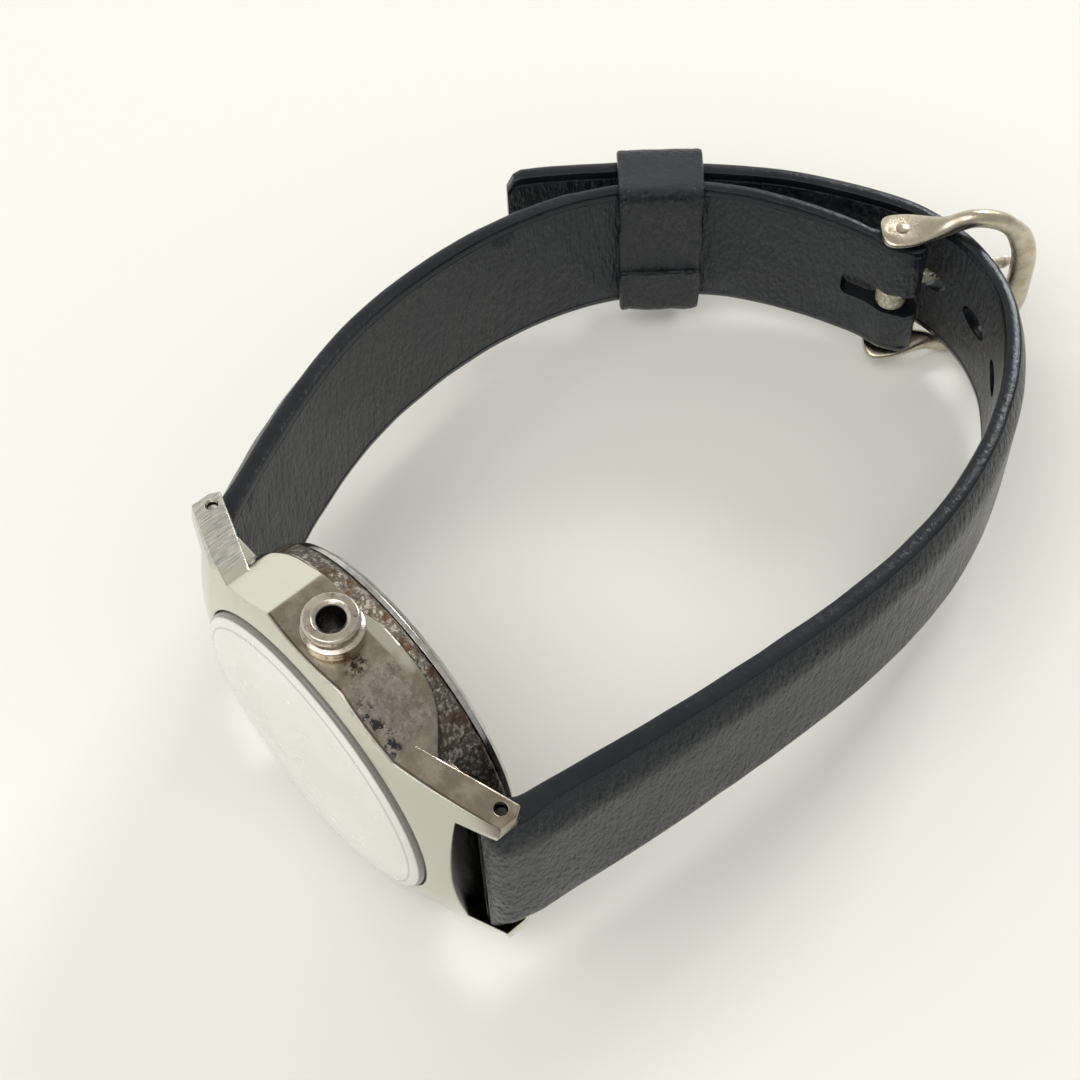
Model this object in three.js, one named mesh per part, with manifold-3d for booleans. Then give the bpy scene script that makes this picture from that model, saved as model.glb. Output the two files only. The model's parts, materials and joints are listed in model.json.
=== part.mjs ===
// Wristwatch, lying on its nine o'clock side with the strap buckled into a loop.
// Everything is drawn in the watch's own axes, in millimetres: x from the twelve o'clock lugs to the
// six o'clock lugs, y from the dial to the wrist, z from nine o'clock to the winding-stem tube at three.
// The origin is midway between the four lug holes. The last lines lay the watch down.

import * as THREE from 'three';
import { mergeVertices } from 'three/addons/utils/BufferGeometryUtils.js';
import Module from 'manifold-3d';

const wasm = await Module();
wasm.setup();

// ---------------------------------------------------------------- driving dimensions
const CASE_R = 15.8;            // round flank of the middle case
const FACET_HALF = 4.4;         // half the width of the flat at three and nine o'clock
const SHOULDER_X = 10.3;        // where the slanting flank facet meets the lug
const SHOULDER_Z = 12.0;
const CASE_FRONT = -4.0;        // front edge of the flank, before the dome trims it
const CASE_REAR = 1.5;          // rear edge of the flank
const SEAT_R = 13.65;           // recess that holds the crystal
const BORE_R = 12.75;           // hollow for the movement
const LUG_GAP = 18.2;           // between the inner faces of a pair of lugs
const LUG_X = 17.9;             // lug hole, from the middle of the watch
const LUG_TIP_X = 19.1;
const LUG_TIP_Z = 10.55;        // outer face of a lug at its tip
const LUG_HOLE_R = 0.55;
const TUBE_Y = -1.0;            // axis of the winding stem
const TUBE_OUT = 17.05;         // outer end of the stem tube
const STRAP_AT_LUGS = 17.8;
const STRAP_AT_BUCKLE = 14.4;
const CASE_END_X = 15.6;        // end of the case between a pair of lugs
const FOLD_R = 1.55;            // strap end round the spring bar
const BAR_R = 0.75;             // spring bar tube
const PLATE_R = 11.3;           // movement
const BUCKLE = { x: -1.9, y: 63.2, angle: 54, reach: 11.7, half: 8.05 };
const TONGUE_Z = -0.4;          // the tongue's eye has slid a little along the bar
const TONGUE_TIP_Z = 0.8;
const LIE_TILT = 4.57;          // degrees: the flat at nine o'clock and the buckle both touch the floor

const ROUND = 32;               // sides of a case part
const FINE = 20;                // sides of a movement part
const SMALL = 12;               // sides of an arbor or a pin

const radians = THREE.MathUtils.degToRad;

// ---------------------------------------------------------------- colours and finishes
const FINISHES = {
  case_steel: [0xb9b0a6, 0.22, 1.0],
  back_steel: [0x8f8a86, 0.18, 1.0],
  crystal: [0xe8eef0, 0.06, 0.0],
  dial: [0xe6e4df, 0.35, 0.3],
  hand: [0xcfcfd2, 0.2, 1.0],
  brass: [0xc9a64e, 0.35, 1.0],
  nickel: [0xb5b2ac, 0.3, 1.0],
  blued: [0x26324f, 0.3, 1.0],
  rubber: [0x161616, 0.8, 0.0],
  leather: [0x131316, 0.55, 0.0],
  buckle_steel: [0xb7a68c, 0.3, 1.0],
};

const watch = new THREE.Group();

function add(name, finish, geometry) {
  const [color, roughness, metalness] = FINISHES[finish];
  const mesh = new THREE.Mesh(geometry, new THREE.MeshStandardMaterial({ color, roughness, metalness }));
  mesh.name = name;
  watch.add(mesh);
  return mesh;
}

// ---------------------------------------------------------------- joining and cutting
function toManifold(geometry) {
  const plain = geometry.clone();
  plain.deleteAttribute('normal');
  plain.deleteAttribute('uv');
  const merged = mergeVertices(plain, 1e-4);
  const index = merged.index.array;
  const triVerts = [];
  for (let i = 0; i < index.length; i += 3) {
    const [a, b, c] = [index[i], index[i + 1], index[i + 2]];
    if (a !== b && b !== c && c !== a) {
      triVerts.push(a, b, c);
    }
  }
  const mesh = new wasm.Mesh({
    numProp: 3,
    vertProperties: new Float32Array(merged.attributes.position.array),
    triVerts: new Uint32Array(triVerts),
  });
  return new wasm.Manifold(mesh);
}

function fromManifold(solid) {
  const mesh = solid.getMesh();
  const geometry = new THREE.BufferGeometry();
  geometry.setAttribute('position', new THREE.BufferAttribute(new Float32Array(mesh.vertProperties), 3));
  geometry.setIndex(new THREE.BufferAttribute(new Uint32Array(mesh.triVerts), 1));
  return geometry;
}

function join(...parts) {
  return fromManifold(parts.map(toManifold).reduce((whole, part) => whole.add(part)));
}

function cut(body, ...tools) {
  return fromManifold(tools.map(toManifold).reduce((rest, tool) => rest.subtract(tool), toManifold(body)));
}

function common(a, b) {
  return fromManifold(toManifold(a).intersect(toManifold(b)));
}

// ---------------------------------------------------------------- basic forms
// A turned part: points are [radius, y], going round the section so that the surface faces out.
function turned(points, sides = ROUND, x = 0, z = 0) {
  const section = points.map(([r, y]) => new THREE.Vector2(r, y));
  const closesOnAxis = section[0].x === 0 && section[section.length - 1].x === 0;
  if (!closesOnAxis) {
    section.push(section[0].clone());
  }
  const geometry = new THREE.LatheGeometry(section, sides);
  geometry.translate(x, 0, z);
  return upright(geometry);
}

// Turns a closed surface the right way out if its section was listed the other way round.
function upright(geometry) {
  const solid = toManifold(geometry);
  if (solid.volume() > 0) {
    return fromManifold(solid);
  }
  const index = geometry.index.array;
  for (let i = 0; i < index.length; i += 3) {
    [index[i], index[i + 1]] = [index[i + 1], index[i]];
  }
  return fromManifold(toManifold(geometry));
}

// A disc or ring about y at [x, z], from y low to y high.
function ring(outer, inner, low, high, sides = FINE, x = 0, z = 0) {
  if (inner === 0) {
    return turned([[0, low], [outer, low], [outer, high], [0, high]], sides, x, z);
  }
  return turned([[inner, low], [outer, low], [outer, high], [inner, high]], sides, x, z);
}

// A round bar along z.
function barAlongZ(radius, low, high, x, y, sides = SMALL) {
  const geometry = new THREE.CylinderGeometry(radius, radius, high - low, sides);
  geometry.rotateX(Math.PI / 2);
  geometry.translate(x, y, (low + high) / 2);
  return geometry;
}

// A flat plate from an outline in x and z, between two heights y.
function plate(shape, low, high) {
  const geometry = new THREE.ExtrudeGeometry(shape, {
    depth: high - low,
    bevelEnabled: false,
    curveSegments: 10,
  });
  geometry.rotateX(Math.PI / 2);
  geometry.translate(0, high, 0);
  return fromManifold(toManifold(geometry));
}

function outline(points) {
  return new THREE.Shape(points.map(([x, z]) => new THREE.Vector2(x, z)));
}

function circleHole(shape, x, z, radius) {
  const hole = new THREE.Path();
  hole.absarc(x, z, radius, 0, 2 * Math.PI, true);
  shape.holes.push(hole);
}

function polar(radius, degrees) {
  return [radius * Math.cos(radians(degrees)), radius * Math.sin(radians(degrees))];
}

// ---------------------------------------------------------------- middle case with its four lugs
function caseRing() {
  const section = [
    [SEAT_R, -4.7], [13.95, -4.8], [CASE_R, CASE_FRONT], [CASE_R, CASE_REAR - 0.5],
    [CASE_R - 0.45, CASE_REAR + 0.15], [14.95, 2.9], [14.55, 3.2], [13.35, 3.2], [13.35, 2.0],
    [BORE_R, 2.0], [BORE_R, -3.4], [12.1, -3.4], [12.1, -3.9], [SEAT_R, -3.9],
  ];
  return turned(section, 44);
}

// The flank is cut to flats: one at three o'clock, one on each side of it, and the same at nine.
function flankOutline() {
  const flat = Math.sqrt(CASE_R ** 2 - FACET_HALF ** 2);
  const corners = [[FACET_HALF, flat], [SHOULDER_X, SHOULDER_Z], [20, SHOULDER_Z - 0.5]];
  const quarter = corners.map(([x, z]) => [x, z]);
  const points = [
    ...quarter,
    ...corners.map(([x, z]) => [x, -z]).reverse(),
    ...corners.map(([x, z]) => [-x, -z]),
    ...corners.map(([x, z]) => [-x, z]).reverse(),
  ];
  return plate(outline(points), -6, 6);
}

// A lug seen from the side slopes towards the wrist; seen from the front its outer face runs inwards.
function lug(side, face) {
  const profile = outline([
    [10.2, -4.6], [LUG_TIP_X, -2.2], [LUG_TIP_X, 0.5], [18.6, 1.35], [11.9, -1.05], [10.2, -1.7],
  ]);
  const body = new THREE.ExtrudeGeometry(profile, { depth: 4, bevelEnabled: false });
  body.translate(0, 0, LUG_GAP / 2);
  const taper = plate(outline([
    [10, 8], [10, SHOULDER_Z], [SHOULDER_X, SHOULDER_Z], [20, LUG_TIP_Z - 0.12], [20, 8],
  ]), -6, 6);
  const solid = common(body, taper);
  solid.scale(side, 1, face);
  return side * face < 0 ? upright(flipped(solid)) : solid;
}

function flipped(geometry) {
  const index = geometry.index.array;
  for (let i = 0; i < index.length; i += 3) {
    [index[i], index[i + 1]] = [index[i + 1], index[i]];
  }
  return geometry;
}

function rectangle(low, high, half) {
  return [[low, -half], [high, -half], [high, half], [low, half]];
}

// Between a pair of lugs the case ends in a straight wall.
function endWall(side) {
  const wall = plate(outline(rectangle(11, CASE_END_X, LUG_GAP / 2 + 0.5)), -4.6, 0.1);
  const solid = cut(wall, ring(15, 0, -6, 2, ROUND));
  return side < 0 ? solid.rotateY(Math.PI) : solid;
}

// The front of the case, its lugs included, is one dome.
function frontDome() {
  return turned([
    [0, -4.75], [13.95, -4.75], [15.8, -3.95], [17.5, -3.2], [18.8, -2.57], [20.3, -1.87], [22.5, -0.8],
    [22.5, 6], [0, 6],
  ], 64);
}

const tubeBore = barAlongZ(1.75, 10, 20, 0, TUBE_Y, FINE);
const lugHoles = [-1, 1].map((side) => barAlongZ(LUG_HOLE_R, -14, 14, side * LUG_X, 0));
const lugs = [[1, 1], [1, -1], [-1, 1], [-1, -1]].map(([side, face]) => lug(side, face));
const endWalls = [1, -1].map(endWall);
const caseBody = common(join(common(caseRing(), flankOutline()), ...lugs, ...endWalls), frontDome());
add('mid_case', 'case_steel', cut(caseBody, ...lugHoles, tubeBore));

// Stem tube: a flange outside, a neck pressed into the case. The winding stem and its crown are missing.
const tubeSection = [
  [1.1, 12.9], [1.7, 12.9], [1.7, 15.3], [2.1, 15.35], [2.1, 16.5], [2.3, 16.6],
  [2.3, 16.9], [2.15, TUBE_OUT], [1.35, TUBE_OUT], [1.1, 16.85],
];
const tube = turned(tubeSection, FINE);
tube.rotateX(Math.PI / 2);
tube.translate(0, TUBE_Y, 0);
add('crown_tube', 'case_steel', tube);

add('crystal', 'crystal', turned([
  [0, -6.55], [6, -6.4], [10, -6.02], [12.5, -5.6], [13.25, -5.3], [13.55, -4.95], [13.55, -3.95],
  [12.72, -3.95], [12.72, -4.9], [12.1, -5.1], [9, -5.35], [0, -5.6],
]));
add('crystal_tension_ring', 'case_steel', turned([
  [12.15, -3.95], [12.62, -3.95], [12.62, -4.85], [12.45, -4.85],
]));
add('caseback', 'back_steel', turned([
  [0, 4.25], [11.0, 4.0], [12.2, 3.6], [12.6, 3.3], [12.6, 2.55], [13.25, 2.55], [13.25, 3.3],
  [14.4, 3.3], [14.4, 3.75], [13.7, 4.25], [11.4, 4.75], [10.3, 4.95], [0, 4.95],
]));
add('caseback_gasket', 'rubber', turned([
  [12.85, 2.2], [13.05, 2.07], [13.25, 2.2], [13.25, 2.35], [13.05, 2.48], [12.85, 2.35],
]));

// ---------------------------------------------------------------- dial and hands
add('dial', 'dial', ring(12.6, 1.3, -3.35, -2.95, ROUND));

// A hand points to the angle given, clockwise from twelve as the dial is read. Twelve is at -x, three at +z.
function hand(length, tail, width, boss, bore, low, high, clock) {
  const blade = plate(outline([
    [-length, 0], [-length * 0.86, width / 2], [-boss * 0.8, width / 2], [boss * 0.8, width / 2],
    [tail, width / 3], [tail, -width / 3], [boss * 0.8, -width / 2],
    [-boss * 0.8, -width / 2], [-length * 0.86, -width / 2],
  ]), low, high);
  const whole = join(blade, ring(boss, 0, low, high, SMALL));
  const solid = cut(whole, ring(bore, 0, low - 1, high + 1, SMALL));
  solid.rotateY(radians(clock));
  return solid;
}
add('hour_hand', 'hand', hand(7.4, 1.6, 1.1, 1.45, 1.14, -3.66, -3.52, 305));
add('minute_hand', 'hand', hand(10.6, 2.0, 0.85, 1.1, 0.8, -4.06, -3.92, 54));
add('seconds_hand', 'hand', hand(11.2, 3.4, 0.3, 0.7, 0.22, -4.42, -4.3, 200));

// ---------------------------------------------------------------- gears
// Teeth are plain wedges with wide gaps, so a meshed pair runs free. A tooth points to the angle toothAt.
function gear(teeth, module, low, high, x, z, bore, toothAt) {
  const pitch = (teeth * module) / 2;
  const shape = new THREE.Shape();
  for (let i = 0; i < teeth; i += 1) {
    const tip = toothAt + (i * 360) / teeth;
    const tipPoint = polar(pitch + 0.45 * module, tip);
    const rootPoint = polar(pitch - 0.9 * module, tip + 180 / teeth);
    if (i === 0) {
      shape.moveTo(x + tipPoint[0], z + tipPoint[1]);
    } else {
      shape.lineTo(x + tipPoint[0], z + tipPoint[1]);
    }
    shape.lineTo(x + rootPoint[0], z + rootPoint[1]);
  }
  if (bore > 0) {
    circleHole(shape, x, z, bore);
  }
  return plate(shape, low, high);
}

function arbor(radius, low, high, x, z) {
  return ring(radius, 0, low, high, SMALL, x, z);
}

// Train: teeth of wheel and pinion, and the direction from each arbor to the next one.
const BARREL = { teeth: 78, module: 0.115, at: 150 };
const CENTRE = { teeth: 80, leaves: 12 };
const THIRD = { teeth: 75, leaves: 10, at: 20 };
const FOURTH = { teeth: 80, leaves: 10 };
const ESCAPE = { teeth: 15, leaves: 8, at: -75, module: 0.082 };
const CENTRE_MODULE = 0.085;
const TO_BARREL = (BARREL.module * (BARREL.teeth + CENTRE.leaves)) / 2;
const TO_THIRD = (CENTRE_MODULE * (CENTRE.teeth + THIRD.leaves)) / 2;
const THIRD_MODULE = (2 * TO_THIRD) / (THIRD.teeth + FOURTH.leaves);
const TO_ESCAPE = (ESCAPE.module * (FOURTH.teeth + ESCAPE.leaves)) / 2;
const barrelAt = polar(TO_BARREL, BARREL.at);
const thirdAt = polar(TO_THIRD, THIRD.at);
const escapeAt = polar(TO_ESCAPE, ESCAPE.at);
const halfTooth = (teeth) => 180 / teeth;

add('barrel', 'brass', cut(
  join(
    ring(4.15, 0, -1.6, -0.25, 36, ...barrelAt),
    gear(BARREL.teeth, BARREL.module, -0.5, -0.25, ...barrelAt, 0, BARREL.at + 180),
  ),
  arbor(0.7, -3, 2, ...barrelAt),
));
add('barrel_arbor', 'nickel', arbor(0.6, -1.65, 1.28, ...barrelAt));
add('centre_wheel', 'brass', cut(
  join(
    gear(CENTRE.teeth, CENTRE_MODULE, 0.1, 0.25, 0, 0, 0, THIRD.at),
    gear(CENTRE.leaves, BARREL.module, -0.6, 0.15, 0, 0, 0, BARREL.at + halfTooth(CENTRE.leaves)),
    arbor(0.42, -3.86, -0.5, 0, 0),
  ),
  arbor(0.25, -5, 2, 0, 0),
));
add('third_wheel', 'brass', join(
  gear(THIRD.teeth, THIRD_MODULE, 0.5, 0.65, ...thirdAt, 0, THIRD.at + 180),
  gear(THIRD.leaves, CENTRE_MODULE, -0.05, 0.55, ...thirdAt, 0, THIRD.at + 180 + halfTooth(THIRD.leaves)),
  arbor(0.12, -0.55, 1.1, ...thirdAt),
));
add('fourth_wheel', 'brass', join(
  gear(FOURTH.teeth, ESCAPE.module, 0.8, 0.95, 0, 0, 0, ESCAPE.at),
  gear(FOURTH.leaves, THIRD_MODULE, 0.4, 0.85, 0, 0, 0, THIRD.at + halfTooth(FOURTH.leaves)),
  arbor(0.16, -4.5, 1.1, 0, 0),
));

// Escape wheel with fifteen slanting club teeth.
function escapeWheel() {
  const shape = new THREE.Shape();
  for (let i = 0; i < ESCAPE.teeth; i += 1) {
    const start = (i * 360) / ESCAPE.teeth;
    const points = [polar(1.75, start), polar(2.2, start + 7), polar(2.1, start + 10), polar(1.75, start + 9)];
    points.forEach(([x, z], k) => {
      const place = [escapeAt[0] + x, escapeAt[1] + z];
      if (i === 0 && k === 0) {
        shape.moveTo(...place);
      } else {
        shape.lineTo(...place);
      }
    });
  }
  return join(
    plate(shape, -0.45, -0.3),
    gear(ESCAPE.leaves, ESCAPE.module, 0.6, 1.02, ...escapeAt, 0, ESCAPE.at + 180 + halfTooth(ESCAPE.leaves)),
    arbor(0.1, -0.55, 1.1, ...escapeAt),
  );
}
add('escape_wheel', 'nickel', escapeWheel());

// ---------------------------------------------------------------- lever and balance
const forkAt = [escapeAt[0] + polar(2.9, -150)[0], escapeAt[1] + polar(2.9, -150)[1]];
const balanceAt = [forkAt[0] + polar(3.2, -170)[0], forkAt[1] + polar(3.2, -170)[1]];

function forkLever() {
  const place = ([x, z]) => [forkAt[0] + x, forkAt[1] + z];
  const anchor = outline([
    [2.05, 1.0], [1.75, 1.15], [0.3, 0.42], [-0.42, 0.3], [-2.05, 0.18], [-2.35, 0.45],
    [-2.35, -0.45], [-2.05, -0.18], [-0.42, -0.3], [0.3, -0.42], [1.1, -1.5], [1.4, -1.4],
    [0.75, 0],
  ].map(([x, z]) => {
    const turn = radians(10);
    return place([x * Math.cos(turn) - z * Math.sin(turn), x * Math.sin(turn) + z * Math.cos(turn)]);
  }));
  return join(plate(anchor, -0.12, 0.0), arbor(0.1, -0.55, 0.0, ...forkAt));
}
add('pallet_fork', 'nickel', forkLever());

function balanceWheel() {
  const spoke = (turn) => {
    const bar = new THREE.BoxGeometry(6.9, 0.2, 0.45);
    bar.rotateY(radians(turn));
    bar.translate(balanceAt[0], 1.45, balanceAt[1]);
    return bar;
  };
  return join(
    ring(3.6, 3.2, 1.3, 1.6, 30, ...balanceAt),
    spoke(25),
    spoke(115),
    arbor(0.28, 0.1, 1.75, ...balanceAt),
    arbor(0.1, -0.5, 2.05, ...balanceAt),
    ring(0.75, 0, 0.15, 0.35, SMALL, ...balanceAt),
  );
}
add('balance_wheel', 'brass', balanceWheel());

// Hairspring: a flat spiral ribbon round the balance staff, between the wheel and the cock.
function hairspring() {
  const turns = 4;
  const steps = turns * 10;
  const inner = [];
  const outer = [];
  for (let i = 0; i <= steps; i += 1) {
    const radius = 0.5 + (1.5 * i) / steps;
    const angle = (i * 360 * turns) / steps;
    const near = polar(radius - 0.04, angle);
    const far = polar(radius + 0.04, angle);
    inner.push([balanceAt[0] + near[0], balanceAt[1] + near[1]]);
    outer.push([balanceAt[0] + far[0], balanceAt[1] + far[1]]);
  }
  return plate(outline([...inner, ...outer.reverse()]), 1.72, 1.88);
}
add('hairspring', 'blued', hairspring());

// ---------------------------------------------------------------- plates, bridges and cock
add('main_plate', 'nickel', cut(
  turned([
    [0.55, -2.0], [9.6, -2.0], [9.6, -2.88], [PLATE_R, -2.88], [PLATE_R, -0.65], [0.55, -0.65],
  ], ROUND),
  ring(4.75, 0, -1.75, 0, 36, ...barrelAt),
  arbor(1.15, -3, 0, 1.7, -1.7),
  barAlongZ(0.55, 5.5, 12, 0, -1.35),
));

// The barrel bridge is a segment of the movement's round, hollowed round the centre wheel.
function barrelBridge() {
  const shape = new THREE.Shape();
  shape.absarc(0, 0, 11.1, radians(66), radians(208), false);
  shape.lineTo(...polar(3.85, 208));
  shape.absarc(0, 0, 3.85, radians(208), radians(105), true);
  shape.lineTo(...polar(5.4, 72));
  const foot = new THREE.Shape();
  foot.absarc(0, 0, 11.1, radians(80), radians(200), false);
  foot.absarc(0, 0, 9.95, radians(200), radians(80), true);
  return cut(
    join(plate(shape, 0.45, 1.15), plate(foot, -0.6, 0.6)),
    arbor(0.7, 0, 2, ...barrelAt),
  );
}
add('barrel_bridge', 'nickel', barrelBridge());

function trainBridge() {
  const shape = new THREE.Shape();
  shape.absarc(0, 0, 11.1, radians(-42), radians(40), false);
  shape.lineTo(-0.9, 1.1);
  shape.lineTo(-1.1, -0.6);
  shape.lineTo(-0.1, -4.1);
  shape.lineTo(1.9, -4.1);
  const foot = new THREE.Shape();
  foot.absarc(0, 0, 11.1, radians(-40), radians(38), false);
  foot.absarc(0, 0, 8.3, radians(38), radians(-40), true);
  return join(plate(shape, 1.2, 1.9), plate(foot, -0.6, 1.4));
}
add('train_bridge', 'nickel', trainBridge());

const COCK_DIRECTION = -35;
function balanceCock() {
  const beam = new THREE.BoxGeometry(7.2, 0.6, 2.2);
  beam.translate(3.0, 2.4, 0);
  const foot = new THREE.BoxGeometry(2.4, 3.0, 3.6);
  foot.translate(5.2, 1.0, 0);
  const whole = join(beam, foot);
  whole.rotateY(-radians(COCK_DIRECTION));
  whole.translate(balanceAt[0], 0, balanceAt[1]);
  return common(cut(whole, arbor(0.2, 1, 2.3, ...balanceAt)), ring(11.1, 0, -0.6, 4, ROUND));
}
add('balance_cock', 'nickel', balanceCock());

add('movement_ring', 'nickel', turned([
  [11.4, -2.85], [12.5, -2.85], [12.5, 1.9], [11.4, 1.9],
]));

// ---------------------------------------------------------------- winding wheels on the barrel bridge
const RATCHET = { teeth: 36, module: 0.2 };
const CROWN_WHEEL = { teeth: 28, at: 46 };
const toCrownWheel = (RATCHET.module * (RATCHET.teeth + CROWN_WHEEL.teeth)) / 2;
const crownWheelOffset = polar(toCrownWheel, CROWN_WHEEL.at);
const crownWheelAt = [barrelAt[0] + crownWheelOffset[0], barrelAt[1] + crownWheelOffset[1]];
add('ratchet_wheel', 'nickel', gear(
  RATCHET.teeth, RATCHET.module, 1.32, 1.6, ...barrelAt, 0, CROWN_WHEEL.at,
));
add('crown_wheel', 'nickel', gear(
  CROWN_WHEEL.teeth, RATCHET.module, 1.32, 1.6, ...crownWheelAt, 0.6,
  CROWN_WHEEL.at + 180 + halfTooth(CROWN_WHEEL.teeth),
));
add('crown_wheel_screw', 'blued', join(
  ring(0.5, 0, 1.2, 1.7, SMALL, ...crownWheelAt),
  ring(1.0, 0, 1.68, 1.9, SMALL, ...crownWheelAt),
));

const clickAt = [barrelAt[0] + polar(4.9, 196)[0], barrelAt[1] + polar(4.9, 196)[1]];
function clickPawl() {
  const shape = outline([
    [-0.6, -0.6], [0.6, -0.6], [0.75, 0.2], [0.95, 1.7], [0.55, 1.5], [-0.2, 0.8], [-0.6, 0.5],
  ].map(([x, z]) => [clickAt[0] + x, clickAt[1] + z]));
  circleHole(shape, ...clickAt, 0.3);
  return plate(shape, 1.32, 1.55);
}
add('click', 'nickel', clickPawl());
add('click_screw', 'blued', join(
  ring(0.2, 0, 1.2, 1.62, SMALL, ...clickAt),
  ring(0.5, 0, 1.6, 1.8, SMALL, ...clickAt),
));

// ---------------------------------------------------------------- motion work under the dial
const MOTION = { x: 1.7, z: -1.7 };
const toMotion = Math.hypot(MOTION.x, MOTION.z);
const cannonModule = (2 * toMotion) / (12 + 36);
const hourModule = (2 * toMotion) / (40 + 10);
const motionAngle = -45;
add('cannon_pinion', 'nickel', join(
  gear(12, cannonModule, -2.4, -2.06, 0, 0, 0.5, motionAngle),
  ring(0.72, 0.5, -4.0, -2.3, FINE),
));
add('minute_wheel', 'brass', cut(
  join(
    gear(36, cannonModule, -2.3, -2.12, MOTION.x, MOTION.z, 0, motionAngle + 180 + halfTooth(36)),
    gear(10, hourModule, -2.8, -2.2, MOTION.x, MOTION.z, 0, motionAngle + 180),
  ),
  arbor(0.24, -3, 0, MOTION.x, MOTION.z),
));
add('minute_wheel_post', 'nickel', arbor(0.16, -2.85, -1.0, MOTION.x, MOTION.z));
add('hour_wheel', 'brass', join(
  gear(40, hourModule, -2.8, -2.6, 0, 0, 0.88, motionAngle + halfTooth(40)),
  ring(1.06, 0.86, -3.62, -2.7, FINE),
));

// ---------------------------------------------------------------- spring bars
function springBar(name, side) {
  const x = side * LUG_X;
  add(`${name}_sleeve`, 'nickel', cut(
    barAlongZ(BAR_R, -7.8, 7.8, x, 0, FINE),
    barAlongZ(0.52, -10, 10, x, 0, FINE),
  ));
  for (const [end, face] of [['crown_end', 1], ['far_end', -1]]) {
    const shank = barAlongZ(0.44, 5.6, 10.1, x, 0);
    const shoulder = barAlongZ(0.62, 8.92, 9.04, x, 0);
    const pin = join(shank, shoulder);
    if (face < 0) {
      pin.rotateY(Math.PI);
      pin.translate(2 * x, 0, 0);
    }
    add(`${name}_pin_${end}`, 'nickel', pin);
  }
  add(`${name}_coil`, 'nickel', coil(x));
}

class Helix extends THREE.Curve {
  constructor(x, radius, length, turns) {
    super();
    Object.assign(this, { x, radius, length, turns });
  }

  getPoint(t, target = new THREE.Vector3()) {
    const angle = t * this.turns * 2 * Math.PI;
    return target.set(
      this.x + this.radius * Math.cos(angle),
      this.radius * Math.sin(angle),
      (t - 0.5) * this.length,
    );
  }
}

function coil(x) {
  const wire = new THREE.Shape();
  wire.absarc(0, 0, 0.09, 0, 2 * Math.PI, false);
  const turns = 5;
  const geometry = new THREE.ExtrudeGeometry(wire, {
    steps: turns * 8,
    curveSegments: 2,
    extrudePath: new Helix(x, 0.33, 7.8, turns),
  });
  return upright(geometry);
}
springBar('spring_bar_12', -1);
springBar('spring_bar_6', 1);

// ---------------------------------------------------------------- strap
// A strap piece follows the line of its lining, which is its inner face. The outside is crowned, thicker
// along the middle than at its edges. Each station has a place, an outward side, a width and a thickness.
function strapSolid(stations) {
  const sides = 6;
  const vertices = [];
  for (const { x, y, nx, ny, width, thick, edge } of stations) {
    const half = width / 2;
    const crown = Math.max(half - 2.4, half * 0.6);
    const section = [[0, -half], [0, half], [edge, half], [thick, crown], [thick, -crown], [edge, -half]];
    for (const [out, z] of section) {
      vertices.push(x + nx * out, y + ny * out, z);
    }
  }
  const index = [];
  for (let s = 0; s + 1 < stations.length; s += 1) {
    for (let k = 0; k < sides; k += 1) {
      const a = s * sides + k;
      const b = s * sides + ((k + 1) % sides);
      index.push(a, b, a + sides, b, b + sides, a + sides);
    }
  }
  const last = (stations.length - 1) * sides;
  for (let k = 1; k + 1 < sides; k += 1) {
    index.push(0, k + 1, k, last, last + k, last + k + 1);
  }
  const geometry = new THREE.BufferGeometry();
  geometry.setAttribute('position', new THREE.Float32BufferAttribute(vertices, 3));
  geometry.setIndex(index);
  return upright(geometry);
}

// Stations along a smooth line; outward is the side given by turn (+1 left of travel, -1 right).
function strapStations(points, count, turn, profile) {
  const curve = new THREE.CatmullRomCurve3(points.map(([x, y]) => new THREE.Vector3(x, y, 0)), false, 'centripetal');
  const length = curve.getLength();
  const stations = [];
  for (let i = 0; i <= count; i += 1) {
    const t = i / count;
    const place = curve.getPointAt(t);
    const along = curve.getTangentAt(t);
    stations.push({
      x: place.x, y: place.y, nx: -along.y * turn, ny: along.x * turn, ...profile(t * length, length),
    });
  }
  return stations;
}

function mix(value, from, to) {
  return from + (to - from) * THREE.MathUtils.clamp(value, 0, 1);
}

// The buckle piece, from the twelve o'clock spring bar to the buckle bar.
const SHORT_LINE = [
  [-17.0, 1.4], [-19.4, 6.0], [-22.6, 12.8], [-25.2, 20.5], [-26.2, 28.0], [-25.9, 36.0],
  [-24.1, 43.6], [-20.7, 49.9], [-15.7, 55.3], [-9.6, 59.0], [-5.4, 60.75], [-2.0, 61.9],
];
const shortStations = strapStations(SHORT_LINE, 22, 1, (s, length) => ({
  width: mix(s / length, STRAP_AT_LUGS, STRAP_AT_BUCKLE),
  thick: s < 8 ? mix(s / 8, 2.7, 2.9) : mix((s - 8) / 37, 2.9, s < 45 ? 1.7 : mix((s - 45) / 20, 1.7, 1.35)),
  edge: s < 45 ? mix(s / 45, 1.7, 1.3) : 1.2,
}));

function foldRound(x, y, width) {
  return barAlongZ(FOLD_R, -width / 2, width / 2, x, y, 20);
}

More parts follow.
